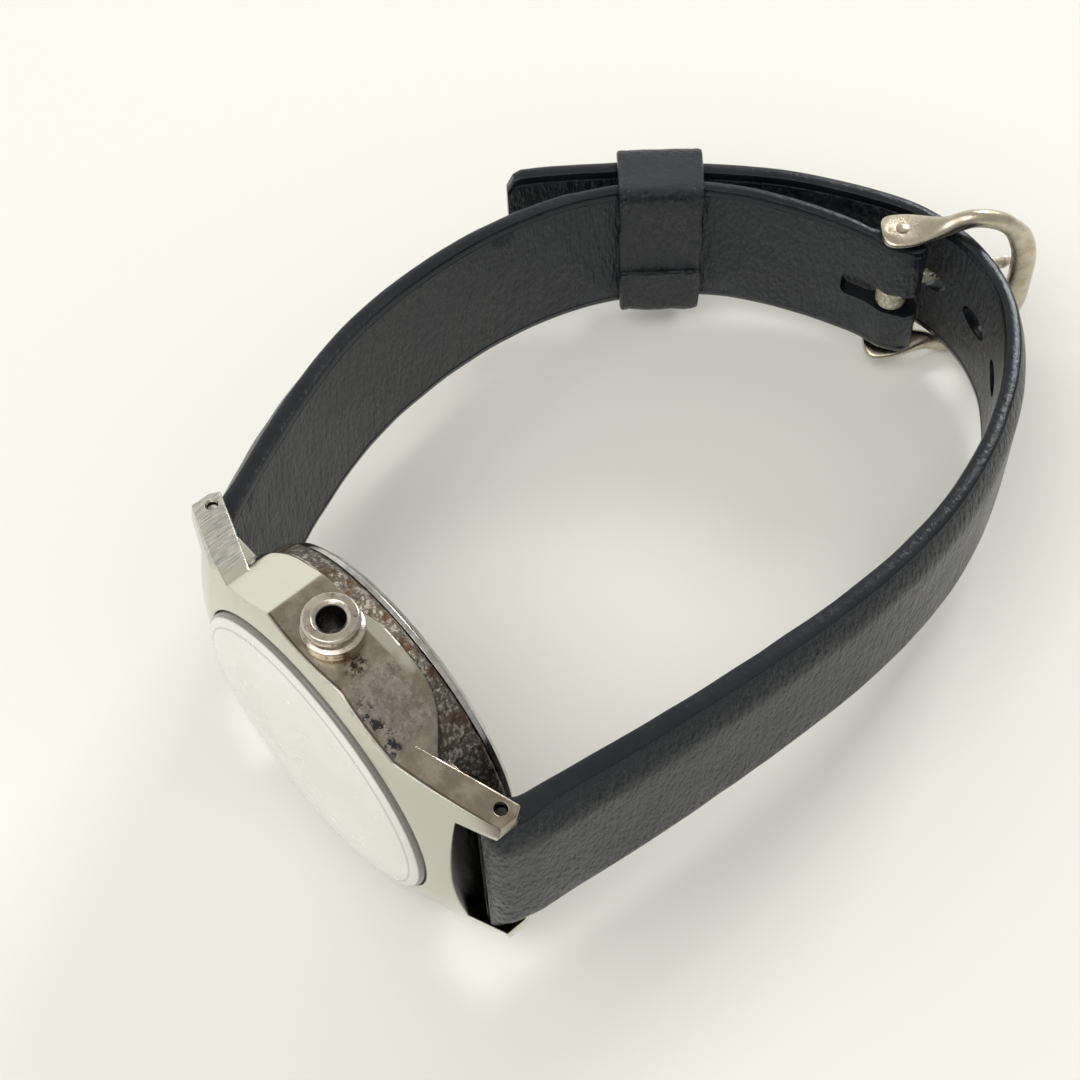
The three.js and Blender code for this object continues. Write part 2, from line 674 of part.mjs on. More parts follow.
const ear = (radius, ahead) => barAlongZ(
  radius, -STRAP_AT_BUCKLE / 2, STRAP_AT_BUCKLE / 2, BUCKLE.x + 0.947 * ahead, BUCKLE.y + 0.32 * ahead, 18,
);
const ears = join(ear(1.55, 0), ear(1.3, 1.3));
const tongueSlot = new THREE.BoxGeometry(9.4, 6.4, 2.8);
tongueSlot.rotateZ(radians(30));
tongueSlot.translate(BUCKLE.x, BUCKLE.y, TONGUE_Z);
const strapShort = cut(
  join(strapSolid(shortStations), foldRound(-LUG_X, 0, STRAP_AT_LUGS), ears),
  barAlongZ(1.0, -12, 12, -LUG_X, 0, 20),
  barAlongZ(0.95, -12, 12, BUCKLE.x, BUCKLE.y, 18),
  tongueSlot,
);
add('strap_short', 'leather', strapShort);

// The holed piece, from the six o'clock spring bar through the buckle and the keeper to its square tip.
const LONG_LINE = [
  [17.0, 1.4], [17.6, 5.5], [18.8, 13.2], [20.1, 24.5], [20.7, 35.0], [20.1, 43.6], [18.2, 50.9],
  [15.2, 57.2], [12.0, 61.5], [8.5, 64.5], [4.4, 66.2], [0.6, 66.6], [-3.8, 65.8], [-8.4, 63.6],
  [-13.6, 60.3], [-18.2, 56.3], [-21.7, 52.6], [-25.0, 48.3], [-27.9, 44.2], [-29.7, 41.3],
];
const longStations = strapStations(LONG_LINE, 38, -1, (s, length) => ({
  width: s < 78 ? mix(s / 78, STRAP_AT_LUGS, STRAP_AT_BUCKLE) : STRAP_AT_BUCKLE,
  thick: s < 70 ? mix(s / 70, 3.3, 1.8) : mix((s - 70) / 20, 1.8, 1.6),
  edge: s < 70 ? mix(s / 70, 1.8, 1.35) : 1.3,
}));

// Oval buckle holes, pointing across the strap at each place along it.
const HOLE = { long: 3.8, wide: 2.3 };
const HOLE_SPACING = 6.3;
const TONGUE_HOLE = 76.3;
function strapHole(distance) {
  const curve = new THREE.CatmullRomCurve3(LONG_LINE.map(([x, y]) => new THREE.Vector3(x, y, 0)), false, 'centripetal');
  const t = distance / curve.getLength();
  const place = curve.getPointAt(t);
  const along = curve.getTangentAt(t);
  const oval = new THREE.CylinderGeometry(0.5, 0.5, 8, 12);
  oval.scale(HOLE.long, 1, HOLE.wide);
  oval.rotateZ(Math.atan2(along.y, along.x));
  oval.translate(place.x, place.y, 0);
  return oval;
}
const holes = [-2, -1, 0, 1, 2, 3].map((i) => strapHole(TONGUE_HOLE + i * HOLE_SPACING));
const strapLong = cut(
  join(strapSolid(longStations), foldRound(LUG_X, 0, STRAP_AT_LUGS)),
  barAlongZ(1.0, -12, 12, LUG_X, 0, 20),
  ...holes,
);
add('strap_long', 'leather', strapLong);

// ---------------------------------------------------------------- keeper loop on the buckle piece
// Moves a form drawn flat into place: its x goes outward from the strap or buckle plane's side, its y goes
// to the watch's z, and its z goes along the given direction in the watch's x and y.
function placeAlong(geometry, x, y, degrees) {
  const along = new THREE.Vector3(Math.cos(radians(degrees)), Math.sin(radians(degrees)), 0);
  const across = new THREE.Vector3(0, 0, 1);
  const outward = new THREE.Vector3(-along.y, along.x, 0);
  const basis = new THREE.Matrix4().makeBasis(outward, across, along);
  basis.setPosition(x, y, 0);
  geometry.applyMatrix4(basis);
  return geometry;
}

const KEEPER = { x: -19.85, y: 51.0, angle: 50, length: 7.6, low: -1.1, high: 4.9, half: 8.45, wall: 0.55 };
function keeperLoop() {
  const { low, high, half, wall, length } = KEEPER;
  const band = outline(rectangle(low, high, half));
  band.holes.push(outline(rectangle(low + wall, high - wall, half - wall)));
  const loop = new THREE.ExtrudeGeometry(band, { depth: length, bevelEnabled: false });
  loop.translate(0, 0, -length / 2);
  return placeAlong(loop, KEEPER.x, KEEPER.y, KEEPER.angle);
}
add('keeper', 'leather', fromManifold(toManifold(keeperLoop())));

// ---------------------------------------------------------------- buckle
// Drawn with its bar at the origin: z runs out to the front of the frame, y along the bar, x out of its plane.
const ARM = { inner: 7.65, outer: 8.45, round: 1.6 };
function buckleFrame() {
  const { reach, half } = BUCKLE;
  const quarter = [[half, 2.4], [half + 0.1, 3.8], [half + 0.85, 6.2], [half + 0.2, 8.7], [6.3, 10.6], [3.5, reach - 0.15]];
  const points = [...quarter, [0, reach], ...quarter.map(([y, z]) => [-y, z]).reverse()];
  const line = new THREE.CatmullRomCurve3(points.map(([y, z]) => new THREE.Vector3(0, y, z)));
  const section = new THREE.Shape();
  section.absellipse(0, 0, 0.75, 0.95, 0, 2 * Math.PI, false);
  const rod = new THREE.ExtrudeGeometry(section, { steps: 28, curveSegments: 4, extrudePath: line });
  const arms = [1, -1].map((side) => {
    const flat = new THREE.Shape();
    flat.moveTo(0.75, 4.0);
    flat.lineTo(-0.75, 4.0);
    flat.lineTo(-ARM.round, 0.3);
    flat.absarc(0, 0, ARM.round, Math.PI - 0.2, 2 * Math.PI + 0.2, false);
    const arm = new THREE.ExtrudeGeometry(flat, { depth: ARM.outer - ARM.inner, bevelEnabled: false, curveSegments: 8 });
    arm.rotateX(Math.PI / 2);
    arm.translate(0, side > 0 ? ARM.outer : -ARM.inner, 0);
    return arm;
  });
  const pinHoles = new THREE.CylinderGeometry(0.8, 0.8, 30, SMALL);
  return cut(join(upright(rod), ...arms), pinHoles);
}
const inBuckle = (geometry) => placeAlong(geometry, BUCKLE.x, BUCKLE.y, BUCKLE.angle);
add('buckle_frame', 'buckle_steel', inBuckle(buckleFrame()));

const barShank = new THREE.CylinderGeometry(0.7, 0.7, 17.5, SMALL);
const barHeads = [1, -1].map((side) => {
  const head = new THREE.CylinderGeometry(0.95, 0.95, 0.16, SMALL);
  head.translate(0, side * 8.58, 0);
  return head;
});
add('buckle_bar', 'buckle_steel', inBuckle(join(barShank, ...barHeads)));

function buckleTongue() {
  const eye = new THREE.CylinderGeometry(1.4, 1.4, 2.0, 18);
  eye.translate(0, TONGUE_Z, 0);
  const line = new THREE.CatmullRomCurve3([[0.85, 0.5], [1.15, 3.0], [1.42, 7.0], [1.42, 11.3]].map(
    ([x, z]) => new THREE.Vector3(x, mix(z / 11.3, TONGUE_Z, TONGUE_TIP_Z), z),
  ));
  const section = new THREE.Shape();
  section.absellipse(0, 0, 0.5, 0.75, 0, 2 * Math.PI, false);
  const prong = new THREE.ExtrudeGeometry(section, { steps: 12, curveSegments: 4, extrudePath: line });
  return cut(join(eye, upright(prong)), new THREE.CylinderGeometry(0.82, 0.82, 4, 18));
}
add('buckle_tongue', 'buckle_steel', inBuckle(buckleTongue()));

// ---------------------------------------------------------------- lay the watch down
watch.rotation.x = -radians(LIE_TILT);
watch.updateMatrixWorld(true);
const extent = new THREE.Box3().setFromObject(watch, true);
const middle = extent.getCenter(new THREE.Vector3());
watch.position.set(-middle.x, -middle.y, -extent.min.z);

const group = new THREE.Group();
group.add(watch);
export default group;
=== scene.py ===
import json
import math

import bmesh
import bpy
from mathutils import Matrix, Vector, noise


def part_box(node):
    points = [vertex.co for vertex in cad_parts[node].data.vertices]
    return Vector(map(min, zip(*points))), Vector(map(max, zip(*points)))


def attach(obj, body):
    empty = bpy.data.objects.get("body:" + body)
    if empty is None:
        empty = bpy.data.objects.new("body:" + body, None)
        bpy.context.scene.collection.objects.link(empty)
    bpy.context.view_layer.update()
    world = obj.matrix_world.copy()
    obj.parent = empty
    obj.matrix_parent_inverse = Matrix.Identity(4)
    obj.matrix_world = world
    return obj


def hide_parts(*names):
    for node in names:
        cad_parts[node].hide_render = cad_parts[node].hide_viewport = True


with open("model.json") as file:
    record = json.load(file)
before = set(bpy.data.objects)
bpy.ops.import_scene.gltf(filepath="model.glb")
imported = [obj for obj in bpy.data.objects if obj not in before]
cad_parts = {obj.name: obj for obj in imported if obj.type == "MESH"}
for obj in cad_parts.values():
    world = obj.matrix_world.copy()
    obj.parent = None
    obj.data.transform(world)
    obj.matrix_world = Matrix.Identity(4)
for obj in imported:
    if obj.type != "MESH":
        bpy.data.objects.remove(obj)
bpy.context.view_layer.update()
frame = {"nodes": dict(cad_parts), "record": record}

# ---------------------------------------------------------------- how the watch lies, and the camera
# The watch rests on its nine o'clock flank and on the buckle, tipped a few degrees. Every piece is drawn in
# the watch's own axes in millimetres: x from twelve to six o'clock, y from dial to wrist, z up to three.
LIE_TILT = math.radians(-4.57)
TENSION_RING_Y = -4.4
ring_low, ring_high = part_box("crystal_tension_ring")
tilt = Matrix.Rotation(LIE_TILT, 4, "X")
watch_origin = (ring_low + ring_high) / 2 - tilt @ Vector((0, TENSION_RING_Y / 1000, 0))
watch_to_world = Matrix.Translation(watch_origin) @ tilt @ Matrix.Scale(0.001, 4)

CAMERA_PLACE = (73.037, -39.044, 155.639)
CAMERA_RIGHT = (0.65628, 0.75405, -0.0267)
CAMERA_DOWN = (0.63064, -0.56761, -0.52926)
camera = bpy.data.objects.new("camera", bpy.data.cameras.new("camera"))
bpy.context.collection.objects.link(camera)
camera.data.lens = 72
camera.data.sensor_width = 36
camera.data.clip_start = 0.01
right = (tilt.to_3x3() @ Vector(CAMERA_RIGHT)).normalized()
down = (tilt.to_3x3() @ Vector(CAMERA_DOWN)).normalized()
back = right.cross(-down).normalized()
up = back.cross(right)
camera.matrix_world = Matrix.Translation(watch_to_world @ Vector(CAMERA_PLACE)) @ Matrix(
    (right, up, back)).transposed().to_4x4()
bpy.context.scene.camera = camera
bpy.context.scene.view_settings.view_transform = "Standard"

# ---------------------------------------------------------------- floor and studio light
# A plain pale table top, a large soft lamp overhead and a smaller one beyond the watch. Metal needs something
# darker to mirror, so the walls go from bright on one side to grey on the other, under a duller ceiling.


def new_material(name):
    material = bpy.data.materials.new(name)
    material.use_nodes = True
    nodes = material.node_tree.nodes
    return material, material.node_tree, nodes["Principled BSDF"]


FLOOR_SIZE = 1.2
floor_mesh = bpy.data.meshes.new("floor")
half = FLOOR_SIZE / 2
floor_mesh.from_pydata(
    [(-half, -half, 0), (half, -half, 0), (half, half, 0), (-half, half, 0)], [], [(0, 1, 2, 3)])
floor = bpy.data.objects.new("floor", floor_mesh)
bpy.context.collection.objects.link(floor)
floor_paint, _, floor_shader = new_material("floor_paint")
floor_shader.inputs["Base Color"].default_value = (0.87, 0.87, 0.825, 1)
floor_shader.inputs["Roughness"].default_value = 0.9
floor_mesh.materials.append(floor_paint)


def area_lamp(name, place, size, power, colour):
    lamp = bpy.data.lights.new(name, "AREA")
    lamp.shape = "RECTANGLE"
    lamp.size, lamp.size_y = size
    lamp.energy = power
    lamp.color = colour
    holder = bpy.data.objects.new(name, lamp)
    bpy.context.collection.objects.link(holder)
    holder.location = place
    holder.rotation_mode = "QUATERNION"
    holder.rotation_quaternion = (-Vector(place)).to_track_quat("-Z", "Y")


area_lamp("lamp_above", (0.04, -0.25, 0.57), (0.55, 0.40), 1.7, (1.0, 0.99, 0.97))
area_lamp("lamp_beyond", (-0.16, 0.54, 0.38), (0.20, 0.14), 1.6, (1.0, 0.99, 0.97))

world = bpy.data.worlds.new("walls")
bpy.context.scene.world = world
world.use_nodes = True
wall_tree = world.node_tree
wall_place = wall_tree.nodes.new("ShaderNodeTexCoord")
wall_split = wall_tree.nodes.new("ShaderNodeSeparateXYZ")
wall_tree.links.new(wall_place.outputs["Generated"], wall_split.inputs[0])


def wall_blend(value, low, high, a, b):
    """Mixes two colours, or a colour and a socket, as a direction goes from low to high."""
    step = wall_tree.nodes.new("ShaderNodeMapRange")
    step.interpolation_type = "SMOOTHSTEP"
    wall_tree.links.new(value, step.inputs["Value"])
    step.inputs["From Min"].default_value = low
    step.inputs["From Max"].default_value = high
    blend = wall_tree.nodes.new("ShaderNodeMix")
    blend.data_type = "RGBA"
    wall_tree.links.new(step.outputs["Result"], blend.inputs["Factor"])
    for socket, colour in ((blend.inputs[6], a), (blend.inputs[7], b)):
        if isinstance(colour, tuple):
            socket.default_value = (*colour, 1)
        else:
            wall_tree.links.new(colour, socket)
    return blend.outputs[2]


wall_low = wall_blend(wall_split.outputs["X"], -0.55, 0.35, (1.0, 1.0, 0.97), (0.40, 0.40, 0.41))
wall_all = wall_blend(wall_split.outputs["Z"], 0.25, 0.75, wall_low, (0.58, 0.56, 0.52))
wall_tree.links.new(wall_all, wall_tree.nodes["Background"].inputs["Color"])
wall_tree.nodes["Background"].inputs["Strength"].default_value = 1.0

# ---------------------------------------------------------------- middle case
# One block of chromed brass: a turned ring whose flank is cut to flats at three and nine o'clock, with four
# sloping lugs under one domed front. The polish has worn warm on the flats, and sweat has pitted the step
# under the caseback.
CASE_R = 15.8
FLAT_AT = 15.17                 # flat at three o'clock, from the middle of the watch
SLANT_AT, SLANT_TO = 15.455, 61.76   # flats on each side of it: distance, and direction in degrees
LUG_INNER_Z = 9.1
LUG_X = 17.9
TUBE_Y = -1.0
REAR_EDGE_Y = 1.5               # rear edge of the flank at twelve o'clock's side, before it curves down
CASE_SECTION = [
    (13.65, -4.7), (13.95, -4.8), (CASE_R, -4.0), (CASE_R, REAR_EDGE_Y), (15.35, 1.65), (14.95, 2.9),
    (14.55, 3.2),
    (13.35, 3.2), (13.35, 2.0), (12.75, 2.0), (12.75, -3.4), (12.1, -3.4), (12.1, -3.9), (13.65, -3.9),
]
FRONT_DOME = [
    (13.95, -4.75), (CASE_R, -3.95), (17.5, -3.2), (18.8, -2.57), (20.3, -1.87), (22.5, -0.8), (22.5, 6),
    (12, 6),
]
CASE_END_X, CASE_END_HALF = 15.82, 9.6
REAR_FALLS_OVER = 5.0
DOME_SLOPE, DOME_LEVEL = 0.44, 10.9    # the front dome as a cone, for telling front from flank
REAR_LEVEL_LEFT, REAR_FALL_LEFT = 7.5, 0.070
REAR_LEVEL_RIGHT, REAR_FALL_RIGHT, REAR_RISE = 6.5, 0.106, 0.4


def eased(section, radius, steps=3):
    """Rounds every corner of a closed outline by a small radius."""
    rounded = []
    for i, corner in enumerate(section):
        corner = Vector(corner)
        before, after = Vector(section[i - 1]) - corner, Vector(section[(i + 1) % len(section)]) - corner
        cut = min(radius, before.length * 0.45, after.length * 0.45)
        start, end = corner + before.normalized() * cut, corner + after.normalized() * cut
        for k in range(steps + 1):
            t = k / steps
            rounded.append(tuple(start.lerp(corner, t).lerp(corner.lerp(end, t), t)))
    return rounded


def filled_in(section, spacing):
    """Adds points along the long sides of a closed outline."""
    dense = []
    for i, (a, b) in enumerate(section):
        c, d = section[(i + 1) % len(section)]
        count = max(1, round(math.hypot(c - a, d - b) / spacing))
        dense += [(a + (c - a) * k / count, b + (d - b) * k / count) for k in range(count)]
    return dense


def new_piece(name, body, slot, materials, points, faces, crease=35, slots=None):
    """A mesh piece from points in the watch's axes, riding on a body."""
    mesh = bpy.data.meshes.new(name)
    mesh.from_pydata([watch_to_world @ Vector(p) for p in points], [], faces)
    for material in materials:
        mesh.materials.append(material)
    if slots:
        mesh.polygons.foreach_set("material_index", slots)
    piece = bpy.data.objects.new(name, mesh)
    bpy.context.collection.objects.link(piece)
    outward(mesh)
    soften(piece, crease)
    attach(piece, body)
    return piece


def outward(mesh):
    shell = bmesh.new()
    shell.from_mesh(mesh)
    bmesh.ops.recalc_face_normals(shell, faces=shell.faces)
    shell.to_mesh(mesh)
    shell.free()


def soften(piece, crease):
    piece.data.polygons.foreach_set("use_smooth", [True] * len(piece.data.polygons))
    piece.data.set_sharp_from_angle(angle=math.radians(crease))


def turned(section, sides, reach=None):
    """Points and faces of a closed section turned round the watch's middle."""
    points, faces = [], []
    rows = len(section)
    for i in range(sides):
        angle = 2 * math.pi * i / sides
        for radius, y in section:
            r, level = reach(radius, angle, y) if reach else (radius, y)
            points.append((r * math.cos(angle), level, r * math.sin(angle)))
        for k in range(rows):
            n, m = (i + 1) % sides, (k + 1) % rows
            faces.append((i * rows + k, n * rows + k, n * rows + m, i * rows + m))
    return points, faces


def soft_least(a, b, width):
    blend = max(width - abs(a - b), 0) / width
    return min(a, b) - blend * blend * width / 4


def rear_edge(x):
    """Height of the flank's rear edge, which falls away towards the lugs."""
    x = max(-REAR_LEVEL_LEFT - REAR_FALLS_OVER, min(x, REAR_LEVEL_RIGHT + REAR_FALLS_OVER))
    if x < 0:
        return REAR_EDGE_Y + 0.03 * x - REAR_FALL_LEFT * max(0, -x - REAR_LEVEL_LEFT) ** 2
    rise = min(1, x / 2.5)
    return REAR_EDGE_Y + REAR_RISE * rise - REAR_FALL_RIGHT * max(0, x - REAR_LEVEL_RIGHT) ** 2


def flank_reach(radius, angle, y):
    """Radius and height of a ring point: the flats cut it, its rear edge curves down to the lugs, and the
    step behind that edge is pitted."""
    limit = 99.0
    for at, towards in ((FLAT_AT, 90), (SLANT_AT, SLANT_TO), (SLANT_AT, 180 - SLANT_TO)):
        for turn in (towards, towards + 180):
            facing = math.cos(angle - math.radians(turn))
            if facing > 0.5:
                limit = soft_least(limit, at / facing, 0.1)
    r = soft_least(radius, limit, 0.16)
    if y > 1.52 and radius > 14.3:
        place = Vector((r * math.cos(angle), y, r * math.sin(angle)))
        depth = min(1, (y - 1.52) / 0.2)
        r -= depth * (0.08 + 0.14 * noise.noise(place * 1.3) + 0.1 * noise.noise(place * 3.1))
    if radius > 14.9 and y > -3:
        moved = rear_edge(r * math.cos(angle)) - REAR_EDGE_Y
        hold = min(1, (y + 3) / 4.5) if y < 1.7 else max(0, (2.9 - y) / 1.2)
        y += moved * hold
    return r, y


def apply_modifiers(piece):
    graph = bpy.context.evaluated_depsgraph_get()
    solid = bpy.data.meshes.new_from_object(piece.evaluated_get(graph))
    piece.modifiers.clear()
    piece.data = solid


def carve(piece, tools, operation="DIFFERENCE"):
    """Joins or cuts a piece with closed tool meshes, then removes the tools."""
    for tool in tools:
        step = piece.modifiers.new("carve", "BOOLEAN")
        step.operation = operation
        step.solver = "MANIFOLD"
        step.object = tool
    bpy.context.view_layer.update()
    apply_modifiers(piece)
    for tool in tools:
        bpy.data.objects.remove(tool)


def tool_mesh(name, points, faces, bevel=0, material_index=0, materials=()):
    mesh = bpy.data.meshes.new(name)
    mesh.from_pydata([watch_to_world @ Vector(p) for p in points], [], faces)
    for material in materials:
        mesh.materials.append(material)
    shell = bmesh.new()
    shell.from_mesh(mesh)
    if bevel:
        bmesh.ops.bevel(shell, geom=shell.edges[:] + shell.verts[:], offset=bevel / 1000, segments=3,
                        profile=0.5, affect="EDGES")
    bmesh.ops.recalc_face_normals(shell, faces=shell.faces)
    for face in shell.faces:
        face.material_index = material_index
    shell.to_mesh(mesh)
    shell.free()
    tool = bpy.data.objects.new(name, mesh)
    bpy.context.collection.objects.link(tool)
    return tool


def prism(outline, low, high):
    """A straight prism along z; low and high are functions of the outline's points or plain numbers."""
    at = lambda level, p: level(p) if callable(level) else level
    count = len(outline)
    points = [(x, y, at(low, (x, y))) for x, y in outline] + [(x, y, at(high, (x, y))) for x, y in outline]
    faces = [tuple(range(count)), tuple(range(2 * count - 1, count - 1, -1))]
    faces += [(k, k + count, (k + 1) % count + count, (k + 1) % count) for k in range(count)]
    return points, faces


def round_bar(radius, low, high, x, y, sides=48):
    circle = [(x + radius * math.cos(2 * math.pi * k / sides), y + radius * math.sin(2 * math.pi * k / sides))
              for k in range(sides)]
    return prism(circle, low, high)


LUG_OUTLINE = [
    (10.2, -4.6), (19.1, -2.2), (19.1, 0.5), (18.6, 1.35), (15.2, 0.15), (11.9, -1.05), (10.2, -1.7)]


def lug_face(point):
    return 12.0 - (point[0] - 10.3) * 0.1619


def lug_tool(side, face):
    points, faces = prism(LUG_OUTLINE, LUG_INNER_Z, lug_face)
    return tool_mesh("lug_tool", [(x * side, y, z * face) for x, y, z in points], faces, bevel=0.16)


def end_wall(side):
    """The straight wall that closes the case between a pair of lugs."""
    spread = math.asin(CASE_END_HALF / 15)
    arc = [(15 * math.cos(spread * (1 - k / 8)), 15 * math.sin(spread * (1 - k / 8))) for k in range(17)]
    points, faces = prism(arc + [(CASE_END_X, -CASE_END_HALF), (CASE_END_X, CASE_END_HALF)], -4.6, 0.1)
    return tool_mesh("end_wall", [(x * side, y, z) for x, z, y in points], faces, bevel=0.08)


def domed(outside, inside, top, under, sides):
    """A turned shell that closes on the axis at the top and underneath."""
    section = outside + inside
    points, faces = turned(section, sides)
    rows = len(section)
    faces = [f for f in faces if f[0] % rows != rows - 1]
    points += [(0, top, 0), (0, under, 0)]
    for i in range(sides):
        n = (i + 1) % sides
        faces.append((i * rows, n * rows, len(points) - 2))
        faces.append((i * rows + rows - 1, n * rows + rows - 1, len(points) - 1))
    return points, faces


def mask_range(tree, value, low, high):
    """A soft step from 0 to 1 between two values."""
    step = tree.nodes.new("ShaderNodeMapRange")
    step.interpolation_type = "SMOOTHSTEP"
    tree.links.new(value, step.inputs["Value"])
    step.inputs["From Min"].default_value = low
    step.inputs["From Max"].default_value = high
    return step.outputs["Result"]


def maths(tree, kind, a, b=None, clamp=False):
    node = tree.nodes.new("ShaderNodeMath")
    node.operation = kind
    node.use_clamp = clamp
    for socket, value in zip(node.inputs, (a, b)):
        if value is None:
            continue
        if isinstance(value, (int, float)):
            socket.default_value = value
        else:
            tree.links.new(value, socket)
    return node.outputs[0]


def product(tree, first, second):
    """Multiplies two masks or heights."""
    return maths(tree, "MULTIPLY", first, second)


def band_mask(tree, value, rise_from, rise_to, fall_from, fall_to):
    """A mask that is 1 between two values of a place, with a soft edge at each end."""
    return product(
        tree, mask_range(tree, value, rise_from, rise_to), mask_range(tree, value, fall_from, fall_to))


def noise_mask(tree, place, low, high, *grain):
    """Soft patches: the share of a noise that lies above low, full at high."""
    return mask_range(tree, noise_of(tree, place, *grain), low, high)


def away_from(tree, place, spot, keep=(1, 1, 1)):
    """Distance from a spot, or from the line through it along the axis that keep leaves out."""
    flat = tree.nodes.new("ShaderNodeVectorMath")
    flat.operation = "MULTIPLY"
    flat.inputs[1].default_value = keep
    tree.links.new(place, flat.inputs[0])
    away = tree.nodes.new("ShaderNodeVectorMath")
    away.operation = "DISTANCE"
    away.inputs[1].default_value = spot
    tree.links.new(flat.outputs["Vector"], away.inputs[0])
    return away.outputs["Value"]


def mixed(tree, factor, a, b):
    node = tree.nodes.new("ShaderNodeMix")
    node.data_type = "RGBA"
    for socket, value in zip((node.inputs["Factor"], node.inputs[6], node.inputs[7]), (factor, a, b)):
        if isinstance(value, (int, float, tuple)):
            socket.default_value = value if isinstance(value, (int, float)) else (*value, 1)
        else:
            tree.links.new(value, socket)
    return node.outputs[2]


def watch_place(tree):
    """Coordinates in the watch's own axes, in millimetres."""
    place = tree.nodes.new("ShaderNodeTexCoord")
    mapping = tree.nodes.new("ShaderNodeMapping")
    turn = tilt.inverted().to_3x3()
    mapping.inputs["Location"].default_value = -1000 * (turn @ watch_origin)
    mapping.inputs["Rotation"].default_value = (-LIE_TILT, 0, 0)
    mapping.inputs["Scale"].default_value = (1000, 1000, 1000)
    tree.links.new(place.outputs["Object"], mapping.inputs["Vector"])
    return mapping.outputs["Vector"]


def noise_of(tree, place, scale, detail=4, roughness=0.55, stretch=(1, 1, 1)):
    if stretch != (1, 1, 1):
        mapping = tree.nodes.new("ShaderNodeMapping")
        mapping.inputs["Scale"].default_value = stretch
        tree.links.new(place, mapping.inputs["Vector"])
        place = mapping.outputs["Vector"]
    texture = tree.nodes.new("ShaderNodeTexNoise")
    tree.links.new(place, texture.inputs["Vector"])
    texture.inputs["Scale"].default_value = scale
    texture.inputs["Detail"].default_value = detail
    texture.inputs["Roughness"].default_value = roughness
    return texture.outputs["Fac"]


def bumped(tree, shader, height, strength, distance, round_edge=0):
    bump = tree.nodes.new("ShaderNodeBump")
    if round_edge:
        rounded = tree.nodes.new("ShaderNodeBevel")
        rounded.samples = 6
        rounded.inputs["Radius"].default_value = round_edge / 1000
        tree.links.new(rounded.outputs["Normal"], bump.inputs["Normal"])
    bump.inputs["Strength"].default_value = strength
    bump.inputs["Distance"].default_value = distance / 1000
    tree.links.new(height, bump.inputs["Height"])
    tree.links.new(bump.outputs["Normal"], shader.inputs["Normal"])


def new_group(name, inputs, outputs):
    group = bpy.data.node_groups.new(name, "ShaderNodeTree")
    for label, kind, value in inputs:
        socket = group.interface.new_socket(name=label, in_out="INPUT", socket_type=kind)
        socket.default_value = value
    for label, kind in outputs:
        group.interface.new_socket(name=label, in_out="OUTPUT", socket_type=kind)
    return group, group.nodes.new("NodeGroupInput"), group.nodes.new("NodeGroupOutput")


def use_group(tree, group, **values):
    node = tree.nodes.new("ShaderNodeGroup")
    node.node_tree = group
    for label, value in values.items():
        node.inputs[label].default_value = value
    return node


def handled_finish(tree, shader, film_strength, rough, bump, depth):
    """Polished metal that has been handled: a film that dulls it unevenly, and fine scratches."""
    film = use_group(tree, handled, **{"Scratch Scale": 1.0, "Film": film_strength})
    tree.links.new(maths(tree, "ADD", film.outputs["Dull"], rough), shader.inputs["Roughness"])
    bumped(tree, shader, film.outputs["Height"], bump, depth)


# Handled metal: hairline scratches in two directions, and a faint film that dulls the polish in patches.
handled, handled_in, handled_out = new_group(
    "handled_metal",
    [("Scratch Scale", "NodeSocketFloat", 1.0), ("Film", "NodeSocketFloat", 0.3)],
    [("Height", "NodeSocketFloat"), ("Dull", "NodeSocketFloat")])
handled_place = watch_place(handled)
hair_a = noise_of(handled, handled_place, 3.0, 2, 0.5, (0.5, 9, 9))
hair_b = noise_of(handled, handled_place, 2.6, 2, 0.5, (8, 0.7, 5))
hair = maths(handled, "ADD", hair_a, hair_b)
handled.links.new(product(handled, hair, handled_in.outputs["Scratch Scale"]), handled_out.inputs["Height"])
film = noise_mask(handled, handled_place, 0.42, 0.7, 0.35, 5, 0.6)
handled.links.new(product(handled, film, handled_in.outputs["Film"]), handled_out.inputs["Dull"])

CHROME = (0.72, 0.695, 0.605)
WARM_FLAT, WARM_PALE = (0.29, 0.245, 0.19), (0.43, 0.385, 0.31)
STAIN_AT, STAIN_REACH = (3.5, -1.7, 15.2), 1.5
WORN_PATCH = (0.20, 0.17, 0.14)
WORN_BRIGHT = (0.36, 0.325, 0.28)
PITTED = (0.12, 0.095, 0.075)
BRUSHED_LUG = (0.36, 0.36, 0.335)
FRONT_CHROME_SHADED = (0.60, 0.585, 0.515)
LUG_GAP_SHADE_COLOUR = (0.025, 0.022, 0.02)
case_chrome, case_tree, case_shader = new_material("case_chrome")
case_place = watch_place(case_tree)
case_split = case_tree.nodes.new("ShaderNodeSeparateXYZ")
case_tree.links.new(case_place, case_split.inputs[0])
case_x, case_y, case_z = case_split.outputs
wander = product(case_tree, maths(case_tree, "SUBTRACT", noise_of(case_tree, case_place, 0.8), 0.5), 1.6)
wavy_x = maths(case_tree, "ADD", case_x, wander)
wavy_y = maths(case_tree, "ADD", case_y, product(case_tree, wander, 0.5))
case_reach = away_from(case_tree, case_place, (0, 0, 0), (1, 0, 1))
dome_slope = product(case_tree, case_reach, DOME_SLOPE)
over_dome = maths(case_tree, "ADD", maths(case_tree, "SUBTRACT", case_y, dome_slope), DOME_LEVEL)
on_flank = product(
    case_tree, mask_range(case_tree, over_dome, 0.06, 0.2), mask_range(case_tree, case_z, 9.3, 9.6))
on_front = mask_range(case_tree, over_dome, 0.2, 0.06)
front_edge_dark_reflection = band_mask(case_tree, over_dome, 0.0, 0.1, 0.36, 0.22)
past_first_flat = mask_range(case_tree, case_x, -4.55, -4.3)
cream = band_mask(case_tree, wavy_x, -1.4, -0.4, 6.6, 5.4)
